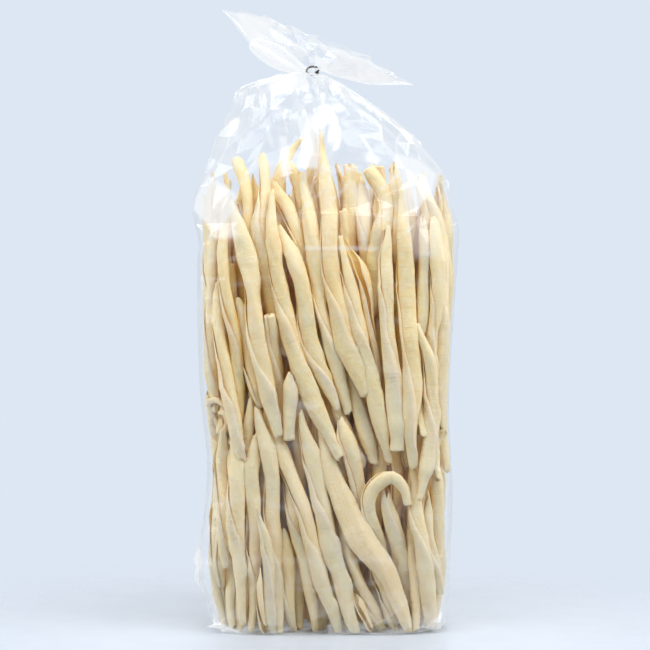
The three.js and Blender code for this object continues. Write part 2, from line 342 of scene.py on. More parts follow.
def beyond_film(points):
    """How far points lie outside the film, less than 0 inside it, and the way out in x and y."""
    s, middle, half = section_at(place_at_height(points[..., 2], points[..., 0]))
    radius = s.corner * s.depth
    x, y = points[..., 0] - middle, points[..., 1]
    qx = np.abs(x) - (half - radius)
    qy = np.abs(y) - (s.depth - radius)
    corner = np.hypot(np.maximum(qx, 0), np.maximum(qy, 0))
    outside = corner + np.minimum(np.maximum(qx, qy), 0) - radius
    in_corner = (qx > 0) & (qy > 0)
    nx = np.where(in_corner, qx / np.maximum(corner, 1e-6), qx > qy)
    ny = np.where(in_corner, qy / np.maximum(corner, 1e-6), qx <= qy)
    return outside, nx * np.sign(x), ny * np.sign(y)


def stand_off(points):
    """How far the film stands off the fusilli at points."""
    x, z = points[..., 0], points[..., 2]
    bulge = BULGE * np.exp(-(((z - BULGE_HEIGHT) / BULGE_SPREAD) ** 2))
    left = (LEFT_SLACK + bulge) * ease(-x, 30, 48)
    return FILM_CLEARANCE + TOP_SLACK * ease(z, 165, 215) + left


def keep_inside(points, reach, held=False):
    """Moves points closer to the film than reach in; held ones move only back or forth."""
    outside, nx, ny = beyond_film(points)
    push = np.maximum(outside + reach + stand_off(points), 0)
    straight = held & (np.abs(ny) > SQUARE_ON)
    moved = points.copy()
    moved[..., 0] -= np.where(straight, 0, push * nx)
    moved[..., 1] -= np.where(straight, push / np.where(straight, ny, 1), push * ny)
    return moved


def pressed_in(points):
    """Moves the rings of a fusillo in where they stand out of the film."""
    rings = points.reshape(-1, 2 * ACROSS, 3)
    shift = keep_inside(rings, SKIN_REACH) - rings
    most = np.linalg.norm(shift, axis=2).argmax(1)
    shift = shift[np.arange(len(rings)), most]
    for _ in range(3):
        ends = np.concatenate([shift[:1], shift, shift[-1:]])
        shift = (ends[:-2] + 2 * shift + ends[2:]) / 4
    return (rings + shift[:, None]).reshape(-1, 3)


def girth_profile(fusillo, share):
    """The radius along a fusillo as a share of its largest, from head to foot."""
    head = 0.86 if fusillo.head == "cut" else 0.3
    foot = 0.86 if fusillo.foot == "cut" else 0.44
    reach = 0.13 + 0.2 * scatter(np.array([1, 2]), 10 * fusillo.girth, 2.0)
    rise = head + (1 - head) * ease(share, -0.04, reach[0])
    fall = foot + (1 - foot) * ease(1 - share, -0.04, reach[1])
    return np.minimum(rise, fall)


def front_nodes(fusillo):
    """The nodes of a fusillo of the front row, against the film."""
    flat = resampled(fusillo.route, NODES)
    points = np.stack([flat[:, 0], np.full(NODES, BAG_LOW.y * 1.5), flat[:, 1]], -1)
    for _ in range(3):
        points = keep_inside(points, fusillo.girth / 2, True)
    dive = fusillo.dive * ease(np.linspace(0, 1, NODES), 0.35, 1)
    points[:, 1] += (fusillo.layer + dive) * LAYER_DEPTH
    return points


def ring_fusilli(ring, tier, rng):
    """The fusilli of one ring of one tier, each with its nodes."""
    round_box = 2 * (BAG_HIGH.x - BAG_LOW.x + BAG_HIGH.y - BAG_LOW.y)
    round_film = round_box * ROUND_SHARE - 8 * ring.inset
    count = int(round_film * (ring.end - ring.start) / ring.spacing)
    made = []
    for k in range(count):
        turn = ring.start + (ring.end - ring.start) * (k + 0.5 + 0.3 * rng.uniform(-1, 1)) / count
        foot = tier.foot + tier.foot_spread * rng.uniform(-0.5, 0.5)
        across = math.sin(FULL_TURN * turn)
        head = tier.head + tier.head_spread * rng.uniform(-0.5, 0.5)
        head += tier.middle_rise * math.exp(-((across / 0.3) ** 2)) * (ring.inset > 5)
        lean = rng.uniform(-0.03, 0.03)
        girth = rng.uniform(5.8, 7.8)
        z = np.array([head, foot])
        inset = ring.inset + rng.uniform(-0.6, 1.6, 2)
        place = place_at_height(z, 50 * across)
        points = skin(place, turn + lean * np.array([-0.5, 0.5]))
        s, middle, half = section_at(place)
        points[:, 0] = middle + (points[:, 0] - middle) * (1 - inset / half)
        points[:, 1] *= 1 - inset / s.depth
        points[:, 2] = z
        share = np.linspace(0, 1, NODES)[:, None]
        bow = np.array([rng.uniform(-2, 2), rng.uniform(-1, 1), 0]) * np.sin(math.pi * share)
        points = points[0] + (points[1] - points[0]) * share + bow
        curl = np.array([rng.uniform(-6, 6), rng.uniform(-2, 2), 0]) * ease(1 - share, 0.82, 1.1)
        points = points + curl
        ends = ["cut" if rng.random() < CUT_SHARE else "point" for _ in range(2)]
        wrap = rng.uniform(1.1, 1.4)
        flap = rng.uniform(0.2, 1.4)
        made.append((Fusillo(None, girth, None, *ends, wrap, flap), points))
    return made


def close_pairs(points, radii):
    """Pairs of nodes of different fusilli that touch or nearly do."""
    flat, reach = points.reshape(-1, 3).astype(np.float32), radii.reshape(-1)
    square = (flat**2).sum(1)
    gap = square[:, None] + square[None, :] - 2 * flat @ flat.T
    near = gap < (reach[:, None] + reach[None, :] + NEAR) ** 2
    owner = np.repeat(np.arange(len(points)), points.shape[1])
    near &= owner[:, None] < owner[None, :]
    return np.nonzero(near)


def settle(points, radii, held, steps):
    """Moves the fusilli apart where they overlap, and keeps each one's own shape."""
    rest = points.copy()
    t = np.linspace(-1, 1, points.shape[1])
    basis = np.stack([np.ones_like(t), t, t**2, t**3], 1)
    smoothing = basis @ np.linalg.pinv(basis)
    reach = radii.reshape(-1)
    for step in range(steps):
        if step % STEPS_PER_LOOK == 0:
            a, b = close_pairs(points, radii)
        flat = points.reshape(-1, 3)
        apart = flat[a] - flat[b]
        distance = np.maximum(np.linalg.norm(apart, axis=1), 1e-6)
        overlap = np.maximum(reach[a] + reach[b] - distance, 0)
        push = apart * (PUSH * overlap / distance)[:, None]
        for axis in range(3):
            flat[:, axis] += np.bincount(a, push[:, axis], len(flat))
            flat[:, axis] -= np.bincount(b, push[:, axis], len(flat))
        points = keep_inside(flat.reshape(points.shape), radii, held[:, None])
        drift = points - rest
        smooth = np.einsum("ij,sjk->sik", smoothing, drift)
        drift = smooth + (1 - STIFFNESS) * (drift - smooth)
        drift[held] *= FRONT_SHARE
        points = rest + drift
    return keep_inside(points, radii, held[:, None])


# ---- Fusilli: how one is rolled ----

OPEN_WRAP = 0.6  # a fusillo rolled less than this is a wide open strip
DOUGH = 0.33  # thickness of the dough as a share of the radius
# The flank depth feeds the dough's painted shade.
FLANK_DEPTH = 5.5  # how much deeper in the bag the light finds a flank than an outward face
OVERLAP_DROP = 0.24  # how far in the covered part of the roll lies, as a share of the radius
THIN_EDGE = 0.2  # the thickness left at the free edge
ACROSS = 21  # points across the strip of dough
THICKEST = 4.2  # the largest radius whose share the thickness is
CORNERS = 4  # raised ones along the free edge
TORN_SHARES = (0.6, 0.35)  # of the heads and of the feet


def strip_thickness(across):
    """The thickness across the strip, from the covered edge to the free one, as a share."""
    start = 0.45 + 0.55 * ease(across, 0, 0.12)
    return start * (1 - (1 - THIN_EDGE) * ease(across, 0.62, 1))


def ring_places(length, rings):
    """Where the rings of a fusillo lie as shares of its length: close together towards its ends."""
    near = np.array([0, 0.12, 0.4, 0.9, 1.6, 2.6]) / length
    middle = np.linspace(near[-1], 1 - near[-1], rings - 2 * len(near) + 2)
    return np.concatenate([near[:-1], middle, 1 - near[-2::-1]])


def rounded_end(distance, reach):
    """How the radius rises from a rounded end, as a share of it."""
    return np.sqrt(1 - (1 - np.clip(distance / reach, 0.012, 1)) ** 2)


# A rolled strip: its points, faces and strip coordinates, and at each point its edge, which is 1 at
# the free edge, 0 on the rest of the outside and under 0 inside, how far in from the film it lies,
# which sets the dough's painted shade, and its tone. While it is rolled, depth is 0 where it faces
# outward and 1 where it faces inward.
Strip = namedtuple("Strip", "points quads strip edge depth tone")


def ways_along(axis, outward):
    """The ways along, outward and to the side at points of an axis."""
    along = unit(np.gradient(axis, axis=0))
    out = unit(outward - (along @ outward)[:, None] * along)
    return along, out, np.cross(along, out)


def raised_corners(fusillo, run, length, rng):
    """How far the free edge stands off along the strip, in a few uneven corners."""
    lift = np.zeros_like(run)
    for _ in range(CORNERS):
        slopes = rng.uniform((1.5, 7), (3.5, 15))[:: rng.choice((-1, 1))]
        off = run - length * rng.uniform(0.08, 0.92)
        corner = np.clip(1 - np.abs(off) / np.where(off < 0, *slopes), 0, 1)
        lift += fusillo.flap * rng.uniform(0.2, 0.9) * corner
    return lift


def ragged_ends(across, run, length, torn, seed, rng):
    """How far the strip's points lie beyond the rings that they belong to, at its two ends."""
    lean, peak = rng.uniform(-1, 1, 2), rng.uniform(0.2, 1, 2)
    shift = 0
    for k, distance, way in ((0, run, -1), (1, length - run, 1)):
        reach = rng.uniform(2.5, 6) if torn[k] else 0.6
        ragged = lean[k] * (across - 0.5) - peak[k] * (np.abs(across - 0.6) - 0.3)
        ragged = ragged + 0.15 * facets(across * 6, 0 * across, seed + 15 + k)
        shift = shift + way * reach * ragged * ease(-distance, -14, 0)[:, None] ** 2
    return shift


def strip_faces(rings):
    """The faces of a strip: its outside, edges and inside from ring to ring, then its two ends."""
    index = np.arange(rings * 2 * ACROSS).reshape(rings, 2 * ACROSS)
    here, there = index[:-1], index[1:]
    following = np.roll(index, -1, axis=1)
    faces = [np.stack([here, there, following[1:], following[:-1]], -1).reshape(-1, 4)]
    for ring, order in ((0, slice(None)), (rings - 1, slice(None, None, -1))):
        outer_row, inner_row = index[ring, :ACROSS], index[ring, ACROSS:][::-1]
        cap = np.stack([outer_row[:-1], outer_row[1:], inner_row[1:], inner_row[:-1]], -1)
        faces.append(cap[:, order])
    return np.concatenate(faces)


def rolled(fusillo, nodes, outward, rings, rng):
    """One fusillo, a strip of dough rolled round its nodes."""
    length = np.linalg.norm(np.diff(nodes, axis=0), axis=1).sum()
    share = ring_places(length, rings)
    run = share * length
    seed = rng.uniform(0, 100)

    axis = spline(nodes, share * (len(nodes) - 1))
    along, outward, side = ways_along(axis, outward)
    sway = 0.6 * swell(run / 17, 0 * run, seed + 3) + 0.7 * facets(run / 15, 0 * run, seed + 4)
    axis = axis + (sway * ease(run, 0, 12))[:, None] * side
    axis = axis + (0.35 * swell(run / 13, 0 * run, seed + 5))[:, None] * outward

    uneven = 1 + 0.14 * swell(run / 19, 0 * run, seed) + 0.06 * swell(run / 7, 0 * run, seed + 1)
    torn = rng.random(2) < TORN_SHARES
    head_reach, foot_reach = (
        0.7 if end == "cut" or is_torn else rng.uniform(1.8, 3.2)
        for end, is_torn in zip((fusillo.head, fusillo.foot), torn)
    )
    tips = rounded_end(run, head_reach) * rounded_end(length - run, foot_reach)
    radius = fusillo.girth / 2 * girth_profile(fusillo, share) * uneven
    opening = rng.uniform(0.15, 0.6)
    open_head = opening * (fusillo.head == "point") * ease(1 - share, 0.75, 1)
    open_foot = 0.3 * (fusillo.foot == "point") * ease(share, 0.8, 1)
    if fusillo.wrap < OPEN_WRAP:
        wrap = fusillo.wrap + 0.3 * (ease(1 - share, 0.72, 1) + ease(share, 0.72, 1))
        phase = -math.pi * wrap + 0.5 * (share - 0.6)
        radius = fusillo.girth / 2 * (0.25 + 0.75 * np.sin(math.pi * share**0.85) ** 0.8) * uneven
    else:
        wrap = fusillo.wrap - open_head - open_foot
        twist = rng.uniform(0.03, 0.085) * length
        phase = rng.uniform(-1.0, 1.4) - twist * (share - 0.5)
        phase = phase + 0.22 * facets(run / 9, 0 * run, seed + 13)
    lift = raised_corners(fusillo, run, length, rng)

    across = np.linspace(0, 1, ACROSS)[None, :]
    radius, wrap, phase, lift, tips = (v[:, None] for v in (radius, wrap, phase, lift, tips))
    angle = phase + FULL_TURN * wrap * (1 - across)
    covered = OVERLAP_DROP * radius * (1 - ease(across, 0.12, 0.55)) * ease(wrap, 0.95, 1.15)
    thick = DOUGH * np.minimum(radius, THICKEST) * strip_thickness(across)
    ripple = 0.12 * swell(run[:, None] / 6, across * 5, seed + 7)
    flats = int(rng.integers(3, 6))
    part = FULL_TURN * wrap * (1 - across) + 0.9 * swell(run / 26, 0 * run, seed + 11)[:, None]
    part = np.mod(part, FULL_TURN / flats) - math.pi / flats
    ridge = (1 - math.cos(math.pi / flats) / np.cos(part)) / (1 - math.cos(math.pi / flats))
    radius = radius * (1 - rng.uniform(0.07, 0.18) * ridge)
    middle = radius - thick / 2 - covered + lift * ease(across, 0.72, 1) + ripple
    squash = 0.13 + 0.24 * swell(run / 22, 0 * run, seed + 9)[:, None]
    shift = ragged_ends(across, run, length, torn, seed, rng)
    axis = axis[:, None] + shift[..., None] * along[:, None]

    sheets = []
    for reach in (middle + thick / 2, middle - thick / 2):
        out = (reach * tips * np.cos(angle) * (1 - squash))[..., None] * outward[:, None]
        aside = (reach * tips * np.sin(angle) * (1 + squash))[..., None] * side[:, None]
        sheets.append(axis + out + aside)
    loop = np.concatenate([sheets[0], sheets[1][:, ::-1]], axis=1)

    turned = np.concatenate([across[0], across[0, ::-1]])
    strip = np.stack(np.broadcast_arrays(turned[None, :], run[:, None]), -1)
    edge = ease(turned, 0.9, 1) - np.repeat([0.0, 1.0], ACROSS)
    # How far each point faces inward, for the painted shade on the flanks.
    away = ease(-np.cos(angle), -0.85, 0.3)
    painted_flank_shade = np.concatenate([away, away[:, ::-1]], axis=1).reshape(-1)
    edge = np.tile(edge, rings)
    return Strip(loop.reshape(-1, 3), strip_faces(rings), strip.reshape(-1, 2), edge, painted_flank_shade, None)


def signed_volume(points, quads):
    """Six times the volume that the faces close in, less than 0 where they face inward."""
    a, b, c, d = (points[quads[:, k]] for k in range(4))
    first = np.einsum("ij,ij->i", a, np.cross(b, c))
    second = np.einsum("ij,ij->i", a, np.cross(c, d))
    return (first + second).sum()


# ---- Shaders ----


class Value:
    """A number or colour in a shader. Python's own operators on it add Math nodes."""

    def __init__(self, shader, socket):
        self.shader = shader
        self.socket = socket

    def maths(self, operation, first, second):
        made = self.shader.node("Math", {"operation": operation}, {0: first, 1: second})
        return Value(self.shader, made.outputs[0])

    def __add__(self, other):
        return self.maths("ADD", self, other)

    def __radd__(self, other):
        return self.maths("ADD", other, self)

    def __sub__(self, other):
        return self.maths("SUBTRACT", self, other)

    def __rsub__(self, other):
        return self.maths("SUBTRACT", other, self)

    def __mul__(self, other):
        return self.maths("MULTIPLY", self, other)

    def __rmul__(self, other):
        return self.maths("MULTIPLY", other, self)

    def __pow__(self, other):
        return self.maths("POWER", self, other)


class Shader:
    """The nodes of one material or of the world."""

    def __init__(self, owner):
        self.tree = owner.node_tree
        self.tree.nodes.clear()

    def node(self, kind, settings=None, sockets=None):
        made = self.tree.nodes.new("ShaderNode" + kind)
        for name, value in (settings or {}).items():
            setattr(made, name, value)
        for key, value in (sockets or {}).items():
            if isinstance(value, Value):
                self.tree.links.new(value.socket, made.inputs[key])
            else:
                made.inputs[key].default_value = value
        return made

    def out(self, kind, output, settings=None, sockets=None):
        return Value(self, self.node(kind, settings, sockets).outputs[output])

    def mixed(self, share, first, second):
        """Two colours mixed; share 0 gives the first."""
        settings = {"data_type": "RGBA"}
        return self.out("Mix", 2, settings, {0: share, 6: first, 7: second})

    def ranged(self, value, start, end, low=0.0, high=1.0):
        """low where value is under start, high where it is over end, and smooth between."""
        sockets = {"Value": value, 1: start, 2: end, 3: low, 4: high}
        settings = {"interpolation_type": "SMOOTHSTEP"}
        return self.out("MapRange", 0, settings, sockets)

    def noise(self, vector, scale=1.0, detail=3.0, roughness=0.6):
        sockets = {"Vector": vector, "Scale": scale, "Detail": detail, "Roughness": roughness}
        return self.out("TexNoise", 0, None, sockets)

    def stretched(self, vector, scale):
        return self.out("Mapping", 0, {"vector_type": "POINT"}, {"Vector": vector, "Scale": scale})

    def place(self):
        return self.out("TexCoord", "Object")

    def bump(self, height, distance, **sockets):
        return self.out("Bump", 0, None, {"Height": height, "Distance": distance, **sockets})

    def laid_over(self, share, under, over):
        """Two finishes mixed; share 0 gives the first."""
        return self.out("MixShader", 0, None, {0: share, 1: under, 2: over})

    def attribute(self, name, output):
        return self.out("Attribute", output, {"attribute_name": name})

    def finish(self, surface):
        self.node("OutputMaterial", None, {"Surface": surface})


def new_material(name):
    material = bpy.data.materials.new(name)
    material.use_nodes = True
    return material, Shader(material)


def opaque(colour):
    return (*colour, 1.0)


def dough_material(settings):
    """Dried dough: matt and cream, paler where it is thin, floury, finely lined and wrinkled, with
    painted shade and light.
    """
    material, s = new_material("Dried dough")
    place = s.place()
    strip = s.out("UVMap", 0, {"uv_map": "strip"})
    tone = s.attribute("tone", "Fac")
    edge = s.attribute("edge", "Fac")
    # depth: how far in the bag a point lies, with flanks counted deeper; it drives the painted
    # shade.
    depth = s.attribute("depth", "Fac")

    clouds = s.noise(place, 55.0, 3.0, 0.55)
    lines = s.noise(s.stretched(strip, (9.0, 0.05, 1.0)))
    flour = s.noise(place, 420.0, 4.0, 0.65)
    grains = s.noise(place, 1500.0, 2.0)

    deep, plain, pale = (opaque(c) for c in (settings.deep, settings.plain, settings.pale))
    body = s.mixed(s.ranged(clouds * 0.6 + tone * 0.4, 0.3, 0.72), deep, plain)
    floury = s.ranged(flour * 0.7 + lines * 0.3, 0.42, 0.66) * 0.5
    up = s.out("SeparateXYZ", "Z", None, {0: place})
    # Paler at the free edge, and paler in the lower tier, where a painted haze stands for the
    # film's haze over it; floury then holds both.
    pale_edge_and_painted_haze = s.ranged(edge, 0.0, 1.0, 0.0, 0.3) + s.ranged(up, 0.08, 0.12, 0.22, 0.0)
    floury = floury + pale_edge_and_painted_haze * (1 - floury)
    # How much painted shade each height takes: little at the heads, which light reaches from above,
    # and half in the lower tier.
    painted_shade_by_height = s.ranged(up, 0.15, 0.175, 1.0, 0.15) * s.ranged(up, 0.08, 0.12, 0.5, 1.0)
    # Painted warm shade on the flanks and on fusilli further in the bag.
    painted_warm_shade = s.ranged(depth, 3.5, 11.0, 0.0, 0.85) * painted_shade_by_height
    colour = s.mixed(painted_warm_shade, s.mixed(floury, body, pale), opaque(settings.painted_warm_shade))
    # Painted shade, darker still, on the innermost fusilli and, at a quarter share, inside the
    # roll.
    painted_deep_shade = s.ranged(depth, 10.0, 19.0, 0.0, 0.85) * painted_shade_by_height
    colour = s.mixed(s.ranged(edge, -0.6, 0.0, 0.25, 0.0) + painted_deep_shade, colour, opaque(settings.shaded))
    # Painted shade towards the foot of the bag.
    painted_base_shade = opaque(tuple(0.55 * c for c in settings.plain))
    colour = s.mixed(s.ranged(up, 0.0, 0.07, 0.42, 0.0), colour, painted_base_shade)
    # Painted light: the heads are paler where light falls on them from above.
    colour = s.mixed(s.ranged(up, 0.15, 0.18, 0.0, 0.1), colour, opaque(settings.pale))

    lumps = s.noise(s.stretched(place, (260.0, 260.0, 150.0)), 1.0, 2.0, 0.5)
    wrinkles = s.noise(s.stretched(strip, (3.0, 0.7, 1.0)))
    height = lines * 0.4 + flour * 0.3 + grains * 0.1 + lumps * 0.5 + wrinkles * 0.45
    bump = s.bump(height, 0.7 * MM, Strength=settings.relief)
    sockets = {
        "Base Color": colour,
        "Roughness": s.ranged(flour, 0.3, 0.7, 0.56, 0.74),
        "Normal": bump,
        "Specular IOR Level": 0.35,
        "Subsurface Weight": settings.softness,
        "Subsurface Radius": (1.0, 0.7, 0.38),
        "Subsurface Scale": 0.002,
    }
    s.finish(s.out("BsdfPrincipled", 0, None, sockets))
    return material


def core_material(settings):
    """The fusilli at the heart of the bag, in the shade of those around them."""
    material, s = new_material("Shaded dough")
    place = s.place()
    streaks = s.noise(s.stretched(place, (160.0, 160.0, 14.0)))
    dark = tuple(c**1.6 for c in settings.deep)
    colour = s.mixed(s.ranged(streaks, 0.35, 0.65), opaque(dark), opaque(settings.deep))
    sockets = {"Base Color": colour, "Roughness": 0.8, "Normal": s.bump(streaks, 2 * MM)}
    s.finish(s.out("BsdfPrincipled", 0, None, sockets))
    return material


def film_material(settings):
    """Clear glossy film that mirrors more edge-on, and is hazy where it is creased; the haze is
    partly real and partly a painted glow, with painted highlight patches.
    """
    material, s = new_material("Clear film")
    sheet = s.out("UVMap", 0, {"uv_map": "UVMap"})
    facing = s.out("LayerWeight", "Facing", None, {"Blend": 0.5})
    # The share of haze: real haze where creased, with painted glow and painted highlight patches.
    haze_and_glow_share = s.attribute("haze_and_glow_share", "Fac")
    fine = s.attribute("strands", "Fac")
    strands = s.noise(s.stretched(sheet, (90.0, 3.5, 1.0)))
    bump = s.bump(strands * fine, 0.8 * MM, Strength=0.35)
    face_on = settings.shine + 0.08 * haze_and_glow_share
    shine = face_on + 0.5 * (1 - face_on) * facing**5.0
    clear = s.out("BsdfTransparent", 0, None, {"Color": (0.985, 0.988, 0.992, 1)})
    thick = s.out("BsdfTransparent", 0, None, {"Color": (0.81, 0.84, 0.87, 1)})
    clear = s.laid_over(facing**3.5, clear, thick)
    sockets = {"Color": (1, 1, 1, 1), "Roughness": settings.roughness, "Normal": bump}
    gloss = s.out("BsdfAnisotropic", 0, {"distribution": "GGX"}, sockets)
    film = s.laid_over(shine, clear, gloss)
    lit = s.out("BsdfDiffuse", 0, None, {"Color": (0.82, 0.83, 0.85, 1)})
    # The hazed film is mostly a painted glow: it gives off light of its own, though it is no lamp.
    through = s.out("Emission", 0, None, {"Color": (0.94, 0.97, 1.0, 1), "Strength": 1.03})
    veil = s.laid_over(settings.painted_glow_share, lit, through)
    haze = settings.haze + 0.42 * haze_and_glow_share * (1 + fine * s.ranged(strands, 0.35, 0.68, -0.4, 0.3))
    s.finish(s.laid_over(haze, film, veil))
    return material


def wire_material(settings):
    """Worn dark steel wire, with its plating rubbed bright in places."""
    material, s = new_material("Worn wire")
    place = s.place()
    wear = s.noise(place, 900.0)
    scratches = s.noise(s.stretched(place, (1.0, 1.0, 6.0)), 1800.0, 2.0, 0.5)
    rubbed = s.ranged(wear, 0.52, 0.62)
    sockets = {
        "Base Color": s.mixed(rubbed, opaque(settings.dark), opaque(settings.bright)),
        "Metallic": 0.9,
        "Roughness": s.ranged(wear, 0.3, 0.7, 0.42, 0.24),
        "Normal": s.bump(scratches, 0.1 * MM),
    }
    s.finish(s.out("BsdfPrincipled", 0, None, sockets))
    return material


def floor_material(settings):
    """A pale matt studio sweep that ends in the backdrop's own tone, with no edge to see."""
    material, s = new_material("Studio floor")
    place = s.place()
    far = s.out("VectorMath", "Value", {"operation": "LENGTH"}, {0: place})
    grain = s.noise(place, 60.0, 2.0, 0.5)
    pale = tuple(min(1.0, 1.02 * c) for c in settings.floor)
    colour = s.mixed(s.ranged(grain, 0.4, 0.6), opaque(settings.floor), opaque(pale))
    matt = s.out("BsdfDiffuse", 0, None, {"Color": colour})
    sheen = s.out("BsdfAnisotropic", 0, None, {"Color": colour, "Roughness": 0.2})
    matt = s.laid_over(settings.polish, matt, sheen)
    clear = s.out("BsdfTransparent", 0)
    s.finish(s.laid_over(s.ranged(far, 0.02, 0.28), matt, clear))
    return material


# ---- Meshes ----


def deselect_all():
    if bpy.context.object and bpy.context.object.mode != "OBJECT":
        bpy.ops.object.mode_set(mode="OBJECT")
    bpy.ops.object.select_all(action="DESELECT")


def coordinates(mesh):
    values = np.empty(3 * len(mesh.vertices))
    mesh.vertices.foreach_get("co", values)
    return values.reshape(-1, 3)


def dress(piece, material):
    piece.data.materials.clear()
    piece.data.materials.append(material)
    piece.data.shade_smooth()
    return piece


def point_attribute(mesh, name, values):
    mesh.attributes.new(name, "FLOAT", "POINT").data.foreach_set("value", values.astype(np.float32))


def joined_piece(name, parts, material):
    """One mesh of many rolled strips."""
    offsets = np.cumsum([0] + [len(part.points) for part in parts])
    quads = np.concatenate([part.quads + offset for part, offset in zip(parts, offsets)])
    points, strip, edge, depth, tone = (
        np.concatenate([getattr(part, field) for part in parts])
        for field in ("points", "strip", "edge", "depth", "tone")
    )
    mesh = bpy.data.meshes.new(name)
    mesh.from_pydata((points * MM).tolist(), [], quads.tolist())
    corners = strip[quads.reshape(-1)].reshape(-1).astype(np.float32)
    mesh.uv_layers.new(name="strip").data.foreach_set("uv", corners)
    point_attribute(mesh, "edge", edge)
    point_attribute(mesh, "depth", depth)
    point_attribute(mesh, "tone", tone)
    mesh.validate()
    piece = bpy.data.objects.new(name, mesh)
    bpy.context.collection.objects.link(piece)
    return dress(piece, material)


def wrapped_sheet(name, across, along, shape, material, sharp_angle=0):
    """A grid that the function shape wraps: it takes the shares across and along, from 0 to 1."""
    deselect_all()
    bpy.ops.mesh.primitive_grid_add(x_subdivisions=across, y_subdivisions=along, size=2)
    piece = bpy.context.object
    piece.name = name
    piece.data.name = name
    flat = coordinates(piece.data)
    u, v = (flat[:, 0] + 1) / 2, (flat[:, 1] + 1) / 2
    points, haze_and_glow_share, strands = shape(u, v)
    piece.data.vertices.foreach_set("co", (points * MM).reshape(-1))
    point_attribute(piece.data, "haze_and_glow_share", haze_and_glow_share)
    point_attribute(piece.data, "strands", strands)
    bpy.ops.object.mode_set(mode="EDIT")
    bpy.ops.mesh.select_all(action="SELECT")
    bpy.ops.mesh.quads_convert_to_tris(quad_method="FIXED")
    bpy.ops.mesh.remove_doubles(threshold=1e-6)
    bpy.ops.mesh.normals_make_consistent(inside=False)
    bpy.ops.object.mode_set(mode="OBJECT")
    dress(piece, material)
    if sharp_angle:
        bpy.ops.object.shade_smooth_by_angle(angle=sharp_angle)
    return piece


def stands_for_bag(piece):
    """The piece is part of what the bag's solid stands for, and moves with it."""
    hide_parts("bag")
    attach(piece, "root")


# ---- The film ----


# The film's mesh is a lattice of cells, halved again and again: at each halving its points move a
# little more, so that flat facets within facets meet in straight sharp creases.
FINEST = 4
CELLS_ROUND = 18
COLUMNS = CELLS_ROUND * 2**FINEST


def crumpled(column, row, seed, shares):
    """Facets within facets, from -1 to 1, with a share for each halving of the lattice."""
    height = np.zeros_like(column, float)
    for level, share in enumerate(shares):
        step = 2.0 ** (FINEST - level)
        wrap = CELLS_ROUND * 2**level
        height += share * facets(column / step, row / step, seed + 5 * level, wrap)
    return height


def folded(column, level, seed):
    """Sharp folds that run up the sheet, two columns of the lattice to each fold, from 0 to 1."""
    i, x = cell(column / 2.0 ** (FINEST - level))

    def depth(k):
        k = np.mod(k, CELLS_ROUND * 2**level)
        return np.mod(k, 2) * (0.45 + 0.55 * scatter(k, 0 * k, seed))

    return depth(i) * (1 - x) + depth(i + 1) * x


# How far broad and fine gathers and the facets draw the film in, as shares of its radius, how far
# the lattice is jogged, in cells, how flat and hazy the facets are, the haze partly real and partly
# a painted glow, and how bright their edges, partly their own white and partly painted highlight.
Creasing = namedtuple("Creasing", "broad fine facets jog flat haze line")
CREASING = {
    "base": Creasing(0, 0, 0.012, 0, 0.3, 0.3, 0.3),
    "heel": Creasing(0, 0, 0.015, 0.1, 0.5, 0.2, 0.2),
    "low": Creasing(0, 0, 0.008, 0.25, 0.5, 0.12, 0.08),
    "waist": Creasing(0, 0, 0.007, 0.25, 0.5, 0.08, 0.05),
    "belly": Creasing(0, 0, 0.007, 0.25, 0.5, 0.02, 0.05),
    "chest": Creasing(0, 0, 0.008, 0.35, 0.6, 0.02, 0.08),
    "side": Creasing(0, 0, 0.025, 0.48, 0.8, 0.03, 0.15),
    "shoulder": Creasing(0.02, 0.01, 0.06, 0.48, 0.9, 0.05, 0.35),
    "slope": Creasing(0.04, 0.02, 0.12, 0.42, 0.9, 0.24, 0.9),
    "brow": Creasing(0.1, 0.05, 0.16, 0.35, 0.8, 0.34, 1.1),
    "roof": Creasing(0.16, 0.12, 0.14, 0.3, 0.6, 0.5, 1.2),
    "gather": Creasing(0.1, 0.3, 0.1, 0.1, 0.3, 1.3, 0.5),
    "neck": Creasing(0, 0.4, 0, 0, 0, 1.6, 0),
    "throat": Creasing(0, 0.4, 0, 0, 0, 1.6, 0),
    "spring": Creasing(0.12, 0.28, 0.1, 0.1, 0.3, 1.5, 0.2),
    "fan": Creasing(0.2, 0.05, 0.16, 0.25, 0.9, 1.1, 0.9),
    "mouth": Creasing(0.2, 0, 0.14, 0.25, 1, 1.2, 0.9),
}
WRINKLE_SPACING = 11.5  # of the slack rolls that run round the bag
WRINKLE_WIDTH = 0.09  # as a share of that


def wrinkles(place, turn):
    """The slack rolls that run round the body of the bag, from 0 to 1."""
    z = np.interp(place, HEIGHT_PLACES, (LEFT_HEIGHTS + RIGHT_HEIGHTS) / 2)
    number, part = cell(z / WRINKLE_SPACING + 0.6 * swell(turn * 5, z / 40, 3.0, 5))
    roll = np.exp(-(((part - 0.5) / WRINKLE_WIDTH) ** 2))
    broken = 0.12 + scatter(number, 0 * number, 6.0) + 0.5 * swell(turn * 9, z / 15, 9.0, 9)
    return roll * ease(broken, 0.3, 1) * ease(PLACE["slope"] - place, 0, 1) * ease(place, 0, 1)


# Where the film is crushed: the turn and the place of the middle, and how far it spreads in each.
Crush = namedtuple("Crush", "turn place turn_spread place_spread")
CRUSHES = [
    Crush(0.76, PLACE["low"], 0.05, 0.34),
    Crush(0.83, PLACE["heel"] - 0.4, 0.03, 0.5),
    Crush(0.16, PLACE["heel"] - 0.3, 0.02, 0.45),
    Crush(0.62, PLACE["heel"], 0.04, 0.4),
]


